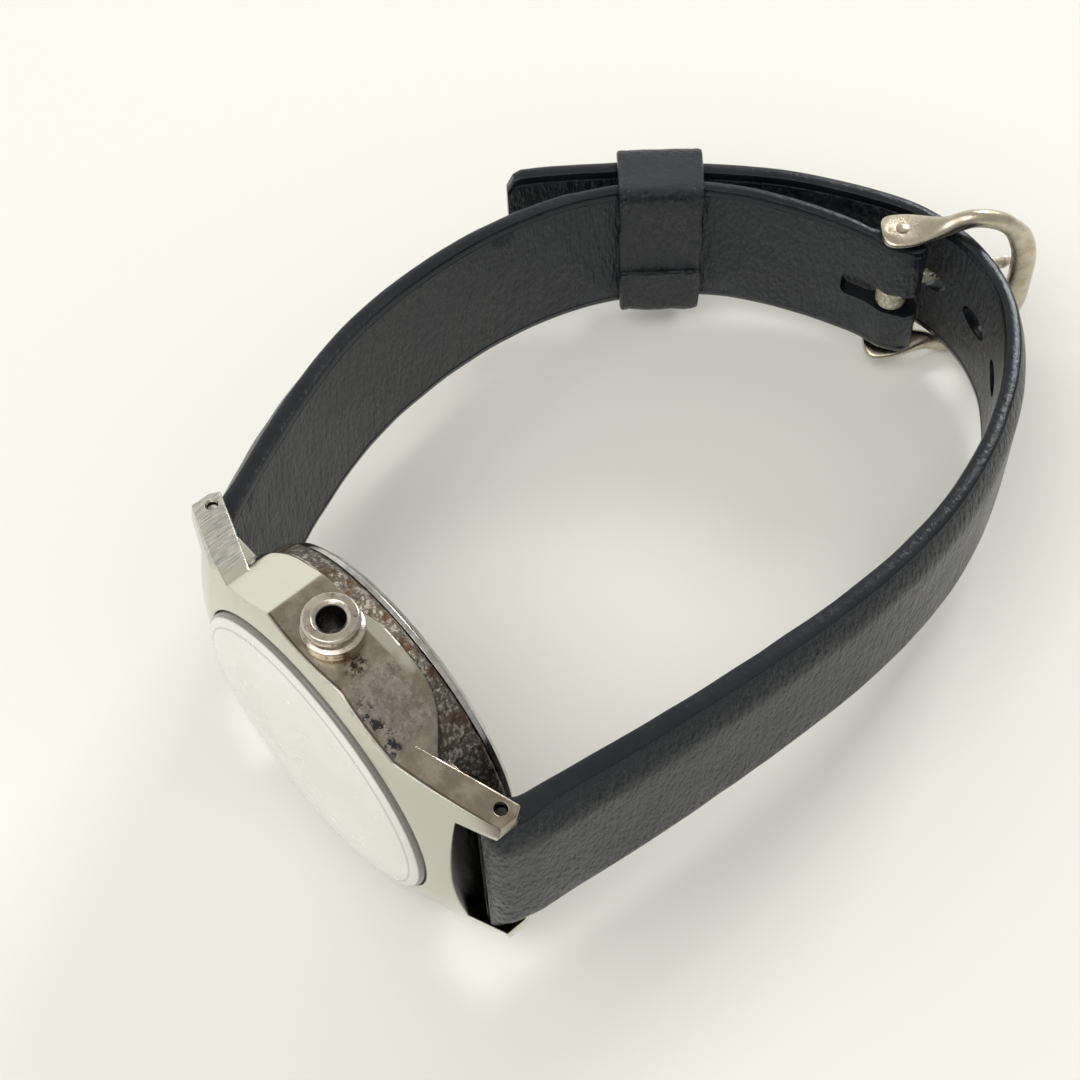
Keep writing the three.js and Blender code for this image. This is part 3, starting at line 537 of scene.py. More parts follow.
cream = product(case_tree, cream, mask_range(case_tree, case_y, 0.75, 1.0))
warm = product(case_tree, on_flank, past_first_flat)
warm = product(case_tree, warm, maths(case_tree, "SUBTRACT", 1.0, product(case_tree, cream, 0.8)))
patch_along = band_mask(case_tree, wavy_x, 3.9, 5.0, 10.6, 9.2)
patch_up = band_mask(case_tree, wavy_y, -4.1, -3.5, 1.5, 0.7)
worn = product(case_tree, product(case_tree, patch_along, patch_up), on_flank)
past_left = maths(
    case_tree, "MAXIMUM", maths(case_tree, "SUBTRACT", product(case_tree, case_x, -1.0), REAR_LEVEL_LEFT), 0.0)
past_left = maths(case_tree, "MINIMUM", past_left, REAR_FALLS_OVER)
past_right = maths(case_tree, "MAXIMUM", maths(case_tree, "SUBTRACT", case_x, REAR_LEVEL_RIGHT), 0.0)
past_right = maths(case_tree, "MINIMUM", past_right, REAR_FALLS_OVER)
behind_edge = maths(
    case_tree, "ADD", case_y, product(case_tree, maths(case_tree, "POWER", past_left, 2.0), REAR_FALL_LEFT))
behind_edge = maths(
    case_tree, "ADD", behind_edge,
    product(case_tree, maths(case_tree, "POWER", past_right, 2.0), REAR_FALL_RIGHT))
behind_edge = maths(
    case_tree, "SUBTRACT", behind_edge, product(case_tree, mask_range(case_tree, case_x, 0.0, 2.5), REAR_RISE))
on_ring = mask_range(case_tree, case_reach, CASE_R, CASE_R - 0.2)
pitted = product(
    case_tree, mask_range(case_tree, behind_edge, REAR_EDGE_Y + 0.02, REAR_EDGE_Y + 0.14), on_ring)
freckles = noise_of(case_tree, case_place, 5.0, 6, 0.7)
stain = product(case_tree, mask_range(case_tree, freckles, 0.60, 0.68), warm)
blotch = noise_of(case_tree, case_place, 2.2, 5, 0.65)
wide_x = maths(case_tree, "ABSOLUTE", case_x)
wide_z = maths(case_tree, "ABSOLUTE", case_z)
lug_side = product(
    case_tree, mask_range(case_tree, case_x, -11.2, -11.6), mask_range(case_tree, case_z, 10.2, 10.4))
lug_side = product(case_tree, lug_side, mask_range(case_tree, case_y, -3.6, -3.3))
strokes = noise_of(case_tree, case_place, 2.2, 4, 0.65, (3.0, 0.35, 1))
# The end walls and the inner lug faces between the lugs are painted nearly black: painted shade and a painted
# reflection of the black strap.
inner_lug = product(
    case_tree, mask_range(case_tree, wide_z, 8.95, 9.05), mask_range(case_tree, wide_x, 12.6, 13.2))
between = maths(case_tree, "MAXIMUM", mask_range(case_tree, wide_x, 15.5, 15.7), inner_lug)
between = product(case_tree, between, mask_range(case_tree, wide_z, 9.25, 9.15))
between = product(case_tree, between, mask_range(case_tree, over_dome, 0.05, 0.25))
gouge = band_mask(case_tree, wavy_y, -3.9, -3.5, -2.3, -2.8)
gouge = product(case_tree, gouge, band_mask(case_tree, wavy_x, 5.2, 6.4, 10.4, 9.6))
gouge = product(
    case_tree, gouge, product(case_tree, on_flank, noise_mask(case_tree, case_place, 0.45, 0.53, 1.5, 4, 0.6)))
warm_tint = mixed(
    case_tree, noise_mask(case_tree, case_place, 0.38, 0.66, 0.45, 5, 0.6), WARM_FLAT, WARM_PALE)
# The front dome's chrome is painted darker than the rest of the same chrome: painted shade.
tint = mixed(case_tree, warm, mixed(case_tree, on_front, CHROME, FRONT_CHROME_SHADED), warm_tint)
stain_away = away_from(case_tree, case_place, STAIN_AT)
tube_stain = product(
    case_tree, mask_range(case_tree, stain_away, STAIN_REACH, 0.5), mask_range(case_tree, blotch, 0.42, 0.56))
tint = mixed(
    case_tree, lug_side, tint, mixed(case_tree, mask_range(case_tree, strokes, 0.3, 0.7), BRUSHED_LUG, CHROME))
worn_tint = mixed(
    case_tree, noise_mask(case_tree, case_place, 0.35, 0.65, 1.1, 8, 0.75), WORN_PATCH, WORN_BRIGHT)
tint = mixed(case_tree, worn, tint, worn_tint)
tint = mixed(case_tree, gouge, tint, (0.05, 0.045, 0.05))
tint = mixed(case_tree, tube_stain, tint, (0.06, 0.04, 0.03))
# A dark line painted along the front edge of the worn flank: painted dark reflection.
tint = mixed(
    case_tree, product(case_tree, front_edge_dark_reflection, product(case_tree, warm, 0.75)), tint, (0.07, 0.045, 0.05))
# Painted shade and painted reflection between the lugs.
tint = mixed(case_tree, between, tint, LUG_GAP_SHADE_COLOUR)
tint = mixed(case_tree, product(case_tree, stain, 0.8), tint, (0.06, 0.04, 0.03))
crust = mixed(
    case_tree, noise_mask(case_tree, case_place, 0.46, 0.66, 2.8, 7, 0.7), PITTED, (0.46, 0.44, 0.39))
crust = mixed(
    case_tree, noise_mask(case_tree, case_place, 0.52, 0.62, 0.55, 4, 0.6), crust, (0.10, 0.06, 0.035))
tint = mixed(case_tree, pitted, tint, crust)
case_tree.links.new(tint, case_shader.inputs["Base Color"])
case_film = use_group(case_tree, handled, **{"Scratch Scale": 1.0, "Film": 0.16})
dull = maths(case_tree, "ADD", case_film.outputs["Dull"], 0.09)
dull = maths(case_tree, "ADD", dull, product(case_tree, worn, 0.30))
dull = maths(case_tree, "ADD", dull, product(case_tree, lug_side, 0.16))
dull = maths(case_tree, "ADD", dull, product(case_tree, pitted, 0.25), clamp=True)
case_tree.links.new(dull, case_shader.inputs["Roughness"])
case_shader.inputs["Metallic"].default_value = 1.0
rough_height = product(case_tree, maths(case_tree, "ADD", worn, product(case_tree, pitted, 2.5)), blotch)
case_height = maths(case_tree, "ADD", product(case_tree, case_film.outputs["Height"], 0.06), rough_height)
case_height = maths(
    case_tree, "ADD", case_height, product(case_tree, product(case_tree, strokes, lug_side), 0.9))
case_height = maths(case_tree, "SUBTRACT", case_height, product(case_tree, gouge, 0.8))
bumped(case_tree, case_shader, case_height, 0.55, 0.10, 0.14)

ring_points, ring_faces = turned(filled_in(eased(CASE_SECTION, 0.12), 0.3), 288, flank_reach)
case_piece = new_piece("case_body", "case", "case_steel", [case_chrome], ring_points, ring_faces)
carve(
    case_piece, [lug_tool(side, face) for side in (1, -1) for face in (1, -1)] + [end_wall(1), end_wall(-1)],
    "UNION")
carve(case_piece, [tool_mesh("front_dome", *domed(FRONT_DOME, [], -4.75, 6, 192))], "INTERSECT")
carve(case_piece, [tool_mesh("hole_tool", *round_bar(0.55, -14, 14, side * LUG_X, 0)) for side in (1, -1)]
      + [tool_mesh("hole_tool", *round_bar(1.75, 10, 20, 0, TUBE_Y, 64))])
soften(case_piece, 28)
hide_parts("mid_case")

# ---------------------------------------------------------------- winding-stem tube
# A short turned steel neck pressed into the case wall, with a flange at its foot and a collar at its mouth.
# The mouth is countersunk and polished by wear.
TUBE_SECTION = [
    (1.1, 12.9), (1.7, 12.9), (1.7, 15.0), (2.5, 15.1), (2.5, 15.62), (2.12, 15.75), (2.12, 16.35),
    (2.3, 16.45), (2.3, 16.86), (2.1, 17.05),
    (1.5, 17.05), (1.18, 16.8), (1.1, 16.6),
]
tube_metal, tube_tree, tube_shader = new_material("tube_metal")
tube_place = watch_place(tube_tree)
tube_grime = noise_mask(tube_tree, tube_place, 0.5, 0.72, 1.6, 5, 0.65)
tube_middle = away_from(tube_tree, tube_place, (0, TUBE_Y, 0), (1, 1, 0))
# Inside the bore the tube is painted near black and not metallic: painted shade in the hole.
bore_shade = mask_range(tube_tree, tube_middle, 1.24, 1.14)
tube_colour = mixed(tube_tree, tube_grime, (0.55, 0.49, 0.43), (0.20, 0.15, 0.12))
tube_tree.links.new(
    mixed(tube_tree, bore_shade, tube_colour, (0.008, 0.007, 0.006)), tube_shader.inputs["Base Color"])
tube_tree.links.new(maths(tube_tree, "SUBTRACT", 1.0, bore_shade), tube_shader.inputs["Metallic"])
handled_finish(tube_tree, tube_shader, 0.3, 0.12, 0.25, 0.02)
tube_points, tube_faces = turned(filled_in(eased(TUBE_SECTION, 0.07), 0.4), 96)
tube_points = [(x, TUBE_Y - z, y) for x, y, z in tube_points]
tube_piece = new_piece("stem_tube", "case", "case_steel", [tube_metal], tube_points, tube_faces)
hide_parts("crown_tube")

# ---------------------------------------------------------------- crystal and its ring
# A domed acrylic crystal, turned with a chamfer and an upright wall, sprung into the case over a bright
# metal ring. It is hazed with fine scratches.


def dome_curve(radius_from, radius_to, y_middle, y_edge, edge_radius, count):
    """A shallow dome's profile: y as a smooth function of the radius."""
    steps = [radius_from + (radius_to - radius_from) * k / (count - 1) for k in range(count)]
    return [(r, y_middle + (y_edge - y_middle) * (r / edge_radius) ** 2) for r in steps]


acrylic, acrylic_tree, acrylic_shader = new_material("acrylic")
acrylic_shader.inputs["Transmission Weight"].default_value = 0.22
acrylic_shader.inputs["IOR"].default_value = 1.49
acrylic_place = watch_place(acrylic_tree)
acrylic_reach = away_from(acrylic_tree, acrylic_place, (0, 0, 0), (1, 0, 1))
# A dark band painted on the upright wall and a grey line where the dome meets the chamfer: painted shade.
acrylic_wall_shade = mask_range(acrylic_tree, acrylic_reach, 13.28, 13.4)
acrylic_line_shade = band_mask(acrylic_tree, acrylic_reach, 12.44, 12.52, 12.72, 12.62)
# The near-white colour, in soft patches, is a painted reflection of the bright floor and painted light from the
# dial beneath.
reflection_patches = noise_mask(acrylic_tree, acrylic_place, 0.3, 0.7, 0.12, 4, 0.55)
acrylic_painted_light = mixed(acrylic_tree, reflection_patches, (0.95, 0.95, 0.89), (0.88, 0.88, 0.81))
acrylic_painted_light = mixed(acrylic_tree, product(acrylic_tree, acrylic_line_shade, 0.5), acrylic_painted_light, (0.35, 0.34, 0.31))
acrylic_tree.links.new(
    mixed(acrylic_tree, acrylic_wall_shade, acrylic_painted_light, (0.22, 0.21, 0.19)), acrylic_shader.inputs["Base Color"])
haze = noise_mask(acrylic_tree, acrylic_place, 0.35, 0.75, 0.5, 6, 0.7)
acrylic_tree.links.new(
    maths(acrylic_tree, "ADD", product(acrylic_tree, haze, 0.14), 0.16), acrylic_shader.inputs["Roughness"])
acrylic_film = use_group(acrylic_tree, handled, **{"Scratch Scale": 1.0, "Film": 0.2})
clear = acrylic_tree.nodes.new("ShaderNodeBsdfTransparent")
ray = acrylic_tree.nodes.new("ShaderNodeLightPath")
either = acrylic_tree.nodes.new("ShaderNodeMixShader")
acrylic_tree.links.new(ray.outputs["Is Shadow Ray"], either.inputs["Fac"])
acrylic_tree.links.new(acrylic_shader.outputs["BSDF"], either.inputs[1])
acrylic_tree.links.new(clear.outputs["BSDF"], either.inputs[2])
acrylic_tree.links.new(either.outputs["Shader"], acrylic_tree.nodes["Material Output"].inputs["Surface"])
bumped(acrylic_tree, acrylic_shader, acrylic_film.outputs["Height"], 0.06, 0.02)
crystal_outside = dome_curve(0.6, 12.4, -6.55, -5.62, 12.4, 14) + eased(
    [(12.5, -5.6), (13.25, -5.3), (13.55, -4.95), (13.55, -3.95), (12.72, -3.95), (12.72, -4.9), (12.3, -5.03)], 0.1)[4:]
crystal_inside = dome_curve(11.9, 0.6, -5.6, -5.12, 12.1, 10)
crystal_piece = new_piece("crystal_dome", "case", "crystal", [acrylic],
                          *domed(crystal_outside, crystal_inside, -6.55, -5.6, 160), crease=30)
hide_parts("crystal")

RING_SECTION = [(12.15, -3.95), (12.62, -3.95), (12.62, -4.85), (12.45, -4.85)]
bright_ring, bright_tree, bright_shader = new_material("bright_ring")
bright_shader.inputs["Metallic"].default_value = 1.0
bright_place = watch_place(bright_tree)
bright_tree.links.new(
    mixed(bright_tree, noise_of(bright_tree, bright_place, 0.7), (0.8, 0.8, 0.79), (0.62, 0.62, 0.61)),
    bright_shader.inputs["Base Color"])
handled_finish(bright_tree, bright_shader, 0.2, 0.14, 0.15, 0.02)
ring_piece = new_piece(
    "tension_ring", "case", "case_steel", [bright_ring], *turned(eased(RING_SECTION, 0.04, 2), 144))
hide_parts("crystal_tension_ring")

# ---------------------------------------------------------------- dial and hands
# A silvered brass dial with twelve applied batons and a printed minute ring, under three polished hands.
DIAL_Y = -3.35
silvered, silver_tree, silver_shader = new_material("silvered_dial")
silver_place = watch_place(silver_tree)
silver_shader.inputs["Metallic"].default_value = 0.25
silver_tone = noise_of(silver_tree, silver_place, 1.2, 5, 0.6)
silver_tree.links.new(
    mixed(silver_tree, silver_tone, (0.88, 0.87, 0.85), (0.80, 0.79, 0.76)),
    silver_shader.inputs["Base Color"])
silver_shader.inputs["Roughness"].default_value = 0.42
bumped(silver_tree, silver_shader, noise_of(silver_tree, silver_place, 6.0, 3), 0.1, 0.01)
dial_points, dial_faces = turned([(12.6, DIAL_Y), (12.6, -2.95), (1.3, -2.95), (1.3, DIAL_Y)], 144)


def dial_box(radius_in, radius_out, width, low, high, degrees):
    """A bar on the dial that points to the middle; clock angle from twelve, which is at -x."""
    points, faces = prism([(-radius_in, low), (-radius_out, low), (-radius_out, high), (-radius_in, high)],
                          -width / 2, width / 2)
    turn = Matrix.Rotation(math.radians(degrees), 4, "Y")
    return [tuple(turn @ Vector(p)) for p in points], faces


def gathered(shapes):
    points, faces = [], []
    for more_points, more_faces in shapes:
        faces += [tuple(k + len(points) for k in face) for face in more_faces]
        points += more_points
    return points, faces


dial_piece = new_piece("dial_plate", "case", "dial_silver", [silvered], dial_points, dial_faces)
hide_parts("dial")
printing, printing_tree, printing_shader = new_material("dial_printing")
printing_place = watch_place(printing_tree)
printing_tree.links.new(
    mixed(
        printing_tree, noise_of(printing_tree, printing_place, 9.0), (0.03, 0.03, 0.03), (0.07, 0.07, 0.07)),
    printing_shader.inputs["Base Color"])
printing_shader.inputs["Roughness"].default_value = 0.5
minute_marks = [dial_box(11.6, 12.2, 0.09, DIAL_Y - 0.02, DIAL_Y + 0.02, 6 * k) for k in range(60)]
new_piece("minute_marks", "case", "dial_silver", [printing], *gathered(minute_marks))
batons = [
    dial_box(9.0, 11.2, 0.75 if k % 3 == 0 else 0.5, DIAL_Y - 0.2, DIAL_Y + 0.02, 30 * k) for k in range(12)]
hand_polish, hand_tree, hand_shader = new_material("hand_polish")
hand_place = watch_place(hand_tree)
hand_shader.inputs["Metallic"].default_value = 1.0
hand_tree.links.new(
    mixed(hand_tree, noise_of(hand_tree, hand_place, 1.5), (0.78, 0.78, 0.79), (0.62, 0.62, 0.64)),
    hand_shader.inputs["Base Color"])
hand_film = use_group(hand_tree, handled, **{"Scratch Scale": 1.0, "Film": 0.2})
hand_tree.links.new(maths(hand_tree, "ADD", hand_film.outputs["Dull"], 0.12), hand_shader.inputs["Roughness"])
new_piece("dial_batons", "case", "hand_steel", [hand_polish], *gathered(batons))

# ---------------------------------------------------------------- caseback
# A turned steel back that snaps into the case over a rubber ring. Its polish is nearly black where it mirrors
# the strap, and its rim carries a bright line.
BACK_OUTSIDE = [
    (12.6, 2.55), (13.25, 2.55), (13.25, 3.3), (14.4, 3.3), (14.4, 3.75), (13.7, 4.25), (11.4, 4.75),
    (10.3, 4.95)]
back_steel, back_tree, back_shader = new_material("back_steel")
back_place = watch_place(back_tree)
back_shader.inputs["Metallic"].default_value = 1.0
back_tone = noise_mask(back_tree, back_place, 0.35, 0.7, 0.9, 5, 0.6)
back_tree.links.new(
    mixed(back_tree, back_tone, (0.60, 0.58, 0.55), (0.42, 0.40, 0.38)), back_shader.inputs["Base Color"])
handled_finish(back_tree, back_shader, 0.25, 0.10, 0.25, 0.02)
back_outside = eased([(12.4, 3.5)] + BACK_OUTSIDE + [(9, 4.95)], 0.1)[4:-4] + [
    (9.5, 4.95), (4, 4.95), (0.6, 4.95)]
back_inside = [(0.6, 4.25), (6, 4.14), (11.0, 4.0), (12.2, 3.6), (12.6, 3.3)]
back_piece = new_piece("back_cover", "case", "back_steel", [back_steel],
                       *domed(back_inside + back_outside, [], 4.25, 4.95, 192), crease=30)
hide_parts("caseback")

# ---------------------------------------------------------------- strap
# Black calf over a soft filler, with a matt lining. The outer skin is turned over the edges, so a smooth band
# runs along each edge and a fine crease parts it from the crowned, finely wrinkled middle.


def smooth_line(points, spacing):
    """Evenly spaced places and directions along a smooth curve through points in x and y."""
    pts = [Vector(p) for p in points]
    pts = [pts[0] * 2 - pts[1]] + pts + [pts[-1] * 2 - pts[-2]]
    dense = []
    for i in range(1, len(pts) - 2):
        p0, p1, p2, p3 = pts[i - 1:i + 3]
        d0, d1, d2 = ((b - a).length ** 0.5 for a, b in ((p0, p1), (p1, p2), (p2, p3)))
        m1 = ((p1 - p0) / d0 - (p2 - p0) / (d0 + d1) + (p2 - p1) / d1) * d1
        m2 = ((p2 - p1) / d1 - (p3 - p1) / (d1 + d2) + (p3 - p2) / d2) * d1
        for k in range(40):
            t = k / 40
            dense.append(p1 * (2 * t ** 3 - 3 * t ** 2 + 1) + m1 * (t ** 3 - 2 * t ** 2 + t)
                         + p2 * (3 * t ** 2 - 2 * t ** 3) + m2 * (t ** 3 - t ** 2))
    dense.append(pts[-2])
    reach = [0.0]
    for a, b in zip(dense, dense[1:]):
        reach.append(reach[-1] + (b - a).length)
    count = max(2, round(reach[-1] / spacing))
    result, k = [], 0
    for i in range(count + 1):
        s = reach[-1] * i / count
        while k < len(reach) - 2 and reach[k + 1] < s:
            k += 1
        t = (s - reach[k]) / (reach[k + 1] - reach[k])
        result.append((s, dense[k].lerp(dense[k + 1], t), (dense[k + 1] - dense[k]).normalized()))
    return result


def mix(t, a, b):
    t = min(1, max(0, t))
    return a + (b - a) * t


def eased_mix(t, a, b):
    t = min(1, max(0, t))
    return a + (b - a) * t * t * (3 - 2 * t)


# Leather grain: small pebbles drawn out across the strap into wrinkles, with pores between them.
grain, grain_in, grain_out = new_group(
    "leather_grain",
    [("Pebble", "NodeSocketFloat", 1.0), ("Wrinkle", "NodeSocketFloat", 1.0)],
    [("Height", "NodeSocketFloat"), ("Wear", "NodeSocketFloat")])
grain_place = watch_place(grain)
pebble_map = grain.nodes.new("ShaderNodeMapping")
pebble_map.inputs["Scale"].default_value = (1, 1, 0.55)
grain.links.new(grain_place, pebble_map.inputs["Vector"])
pebble = grain.nodes.new("ShaderNodeTexVoronoi")
pebble.feature = "SMOOTH_F1"
pebble.inputs["Scale"].default_value = 2.6
grain.links.new(pebble_map.outputs["Vector"], pebble.inputs["Vector"])
wrinkle = noise_of(grain, grain_place, 1.7, 5, 0.62, (1, 1, 0.22))
fine = noise_of(grain, grain_place, 7.0, 3, 0.6)
pebble_height = product(
    grain, maths(grain, "SUBTRACT", 1.0, pebble.outputs["Distance"]), grain_in.outputs["Pebble"])
wrinkle_height = product(grain, wrinkle, grain_in.outputs["Wrinkle"])
grain.links.new(
    maths(grain, "ADD", maths(grain, "ADD", pebble_height, wrinkle_height), product(grain, fine, 0.15)),
    grain_out.inputs["Height"])
grain.links.new(noise_mask(grain, grain_place, 0.35, 0.7, 0.22, 4, 0.6), grain_out.inputs["Wear"])


def leather(name, dark, light, rough, shine, pebble_size, wrinkle_size, relief):
    material, tree, shader = new_material(name)
    skin = use_group(tree, grain, Pebble=pebble_size, Wrinkle=wrinkle_size)
    tree.links.new(mixed(tree, skin.outputs["Wear"], dark, light), shader.inputs["Base Color"])
    tree.links.new(
        maths(tree, "ADD", product(tree, skin.outputs["Wear"], rough[1] - rough[0]), rough[0]),
        shader.inputs["Roughness"])
    shader.inputs["Specular IOR Level"].default_value = shine
    shader.inputs["Specular Tint"].default_value = (0.86, 0.93, 1.0, 1)
    bumped(tree, shader, skin.outputs["Height"], 0.6, relief)
    return material


outer_skin = leather(
    "outer_skin", (0.004, 0.0045, 0.006), (0.008, 0.0085, 0.011), (0.20, 0.32), 0.45, 0.9, 2.4, 0.42)
edge_skin = leather(
    "edge_skin", (0.004, 0.005, 0.007), (0.008, 0.009, 0.012), (0.16, 0.24), 0.5, 0.12, 0.8, 0.12)
lining_skin = leather(
    "lining_skin", (0.006, 0.007, 0.010), (0.016, 0.018, 0.023), (0.26, 0.38), 0.5, 0.7, 2.2, 0.30)
STRAP_SKINS = [outer_skin, edge_skin, lining_skin]
OUTER, EDGE, LINING = 0, 1, 2


def strap_section(low, high, edge, half_width):
    """One cut across the strap: places outward and across, with the skin that starts at each."""
    h = half_width
    depth = high - low
    top = low + edge
    side = [
        (low + 0.02, h - 0.95, LINING), (low + 0.10, h - 0.86, EDGE), (low + 0.0, h - 0.76, EDGE),
        (low + 0.03, h - 0.35, EDGE), (low + 0.13, h - 0.1, EDGE), (low + 0.36, h, EDGE),
        (low + edge * 0.55, h + 0.02, EDGE), (top - 0.22, h, EDGE), (top - 0.05, h - 0.1, EDGE),
        (top + 0.03, h - 0.24, EDGE), (top - 0.03, h - 0.36, OUTER),
    ]
    crown = []
    for k in range(1, 9):
        u = k / 8
        crown.append((top + (depth - edge) * math.sin(u * math.pi / 2), h - 0.36 - 2.6 * u, OUTER))
    crown += [(high, (h - 2.96) * (1 - k / 4), OUTER) for k in range(1, 4)]
    near = side + crown
    far = []
    for k in range(len(near) - 1, -1, -1):
        n, z, _ = near[k]
        skin = near[k - 1][2] if k else LINING
        far.append((n, -z, skin))
    far = [(high, 0, OUTER)] + far
    lining = [(low, -(h - 0.95) + (2 * h - 1.9) * k / 8, LINING) for k in range(1, 8)]
    return near + far + lining


def strap_mesh(stations):
    """Skins a list of (place, outward, section) into one closed shell."""
    points, faces, slots = [], [], []
    count = len(stations[0][2])
    for place, out, section in stations:
        for n, z, _ in section:
            spot = place + out * n
            wobble = 0.05 * noise.noise(Vector((spot.x, spot.y, z)) * 0.35)
            points.append((spot.x + out.x * wobble, spot.y + out.y * wobble, z))
    for i in range(len(stations) - 1):
        for k in range(count):
            m = (k + 1) % count
            faces.append((i * count + k, i * count + m, (i + 1) * count + m, (i + 1) * count + k))
            slots.append(stations[i][2][k][2])
    last = (len(stations) - 1) * count
    faces += [tuple(range(count - 1, -1, -1)), tuple(last + k for k in range(count))]
    slots += [EDGE, EDGE]
    return points, faces, slots


def rolled(s, middle_s, middle_n, radius, low, high, straight=0.0, end_radius=None):
    """Lowest and highest face of a strap end rolled round a bar; s runs out over the bar."""
    ahead = s - middle_s
    end_radius = end_radius or radius
    if ahead < 0:
        t = 1 + ahead / 2.4
        return eased_mix(t, low, middle_n - radius), eased_mix(t, high, middle_n + radius)
    if ahead < straight:
        half_high = mix(ahead / straight, radius, end_radius)
    else:
        half_high = math.sqrt(max(0.02, end_radius ** 2 - (ahead - straight) ** 2))
    return middle_n - half_high, middle_n + half_high


SHORT_LINE = [
    (-17.0, 1.4), (-19.4, 6.0), (-22.6, 12.8), (-25.2, 20.5), (-26.2, 28.0), (-25.9, 36.0),
    (-24.1, 43.6), (-20.7, 49.9), (-15.7, 55.3), (-9.6, 59.0), (-5.4, 60.75), (-2.0, 61.9),
]
LONG_LINE = [
    (17.0, 1.4), (17.6, 5.5), (18.8, 13.2), (20.1, 24.5), (20.7, 35.0), (20.1, 43.6), (18.2, 50.9),
    (15.2, 57.2), (12.0, 61.5), (8.5, 64.5), (4.4, 66.2), (0.6, 66.6), (-3.8, 65.8), (-8.4, 63.6),
    (-13.6, 60.3), (-18.2, 56.3), (-21.9, 52.75), (-25.35, 48.6), (-28.45, 44.55), (-30.35, 41.7),
]
WIDE, NARROW = 17.8, 14.4
ROLL_R, LONG_ROLL_R = 1.55, 1.95
EAR_R, EAR_END_R, EAR_STRAIGHT = 1.55, 1.3, 1.3
BUCKLE_X, BUCKLE_Y, BUCKLE_ANGLE = -1.9, 63.2, 54


def bar_seen_from(place, along, out, x, y):
    """Where a bar lies, along and outward from a place on the strap's line."""
    reach = Vector((x, y)) - place
    return reach.dot(along), reach.dot(out)


def extended(line, before, after):
    """The line with straight runs added at its ends, in steps that close up towards the ends."""
    steps = [1, 0.97, 0.9, 0.8, 0.68, 0.55, 0.42, 0.28, 0.14]
    s0, p0, a0 = line[0]
    s1, p1, a1 = line[-1]
    head = [(s0 - before * t, p0 - a0 * before * t, a0) for t in steps] if before else []
    tail = [(s1 + after * t, p1 + a1 * after * t, a1) for t in reversed(steps)] if after else []
    return head + line + tail


short_line = smooth_line(SHORT_LINE, 0.7)
short_length = short_line[-1][0]
turn_left = lambda a: Vector((-a.y, a.x))
turn_right = lambda a: Vector((a.y, -a.x))
lug_s, lug_n = bar_seen_from(short_line[0][1], short_line[0][2], turn_left(short_line[0][2]), -LUG_X, 0)
ear_s, ear_n = bar_seen_from(
    short_line[-1][1], short_line[-1][2], turn_left(short_line[-1][2]), BUCKLE_X, BUCKLE_Y)
short_stations = []
for s, place, along in extended(short_line, ROLL_R - lug_s - 0.02, EAR_END_R + EAR_STRAIGHT + ear_s - 0.02):
    low = 0.0
    if s < 8:
        high = mix(s / 8, 2.7, 2.9)
    else:
        high = mix((s - 8) / 37, 2.9, 1.7) if s < 45 else mix((s - 45) / 20, 1.7, 1.35)
    edge = mix(s / 45, 1.7, 1.3) if s < 45 else 1.2
    if s < 3:
        low, high = rolled(-s, -lug_s, lug_n, ROLL_R, low, high)
        edge = mix(s / 3, (high - low) * 0.72, edge)
    elif s > short_length - 3:
        low, high = rolled(s - short_length, ear_s, ear_n, EAR_R, low, high, EAR_STRAIGHT, EAR_END_R)
        edge = (high - low) * 0.8
    edge = min(edge, (high - low) * 0.92)
    width = mix(s / short_length, WIDE, NARROW)
    short_stations.append((place, turn_left(along), strap_section(low, high, edge, width / 2)))
short_points, short_faces, short_slots = strap_mesh(short_stations)
short_piece = new_piece(
    "strap_buckle_part", "case", "strap_leather", STRAP_SKINS, short_points, short_faces, 40, short_slots)


def slanted_box(size, x, y, z, degrees, bevel=0):
    length, height, depth = size
    spin = Matrix.Rotation(math.radians(degrees), 2)
    corners = [spin @ Vector(c) + Vector((x, y)) for c in
               ((-length / 2, -height / 2), (length / 2, -height / 2), (length / 2, height / 2), (-length / 2, height / 2))]
    points, faces = prism([tuple(c) for c in corners], z - depth / 2, z + depth / 2)
    return tool_mesh("slot_tool", points, faces, bevel, EDGE, STRAP_SKINS)


TONGUE_Z, TONGUE_TIP_Z = -0.4, 0.8
carve(short_piece, [slanted_box((9.4, 6.4, 2.8), BUCKLE_X, BUCKLE_Y, TONGUE_Z, 30, 0.7)])
soften(short_piece, 40)
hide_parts("strap_short")

# The holed part runs through the buckle and the keeper to a square tip with rounded corners.
HOLE_LONG, HOLE_WIDE = 3.8, 2.3
HOLE_SPACING, TONGUE_HOLE = 6.3, 76.3
TIP_CORNER = 1.4
long_line = smooth_line(LONG_LINE, 0.7)
long_length = long_line[-1][0]
bar_s, bar_n = bar_seen_from(long_line[0][1], long_line[0][2], turn_right(long_line[0][2]), LUG_X, 0)
long_stations = []
for s, place, along in extended(long_line, LONG_ROLL_R - bar_s - 0.02, 0):
    low = 0.0
    high = mix(s / 70, 3.3, 1.95) if s < 70 else mix((s - 70) / 20, 1.95, 1.8)
    edge = mix(s / 70, 1.8, 1.35) if s < 70 else 1.3
    if s < 3:
        low, high = rolled(-s, -bar_s, bar_n, LONG_ROLL_R, low, high)
        edge = mix(s / 3, (high - low) * 0.72, edge)
    edge = min(edge, (high - low) * 0.92)
    half_width = mix(s / 78, WIDE, NARROW) / 2
    left = long_length - s
    if left < TIP_CORNER:
        half_width -= TIP_CORNER - math.sqrt(TIP_CORNER ** 2 - (TIP_CORNER - left) ** 2)
        high = low + (high - low) * (0.72 + 0.28 * left / TIP_CORNER)
        edge *= 0.72 + 0.28 * left / TIP_CORNER
    long_stations.append((place, turn_right(along), strap_section(low, high, edge, half_width)))
long_points, long_faces, long_slots = strap_mesh(long_stations)
long_piece = new_piece(
    "strap_holed_part", "case", "strap_leather", STRAP_SKINS, long_points, long_faces, 40, long_slots)


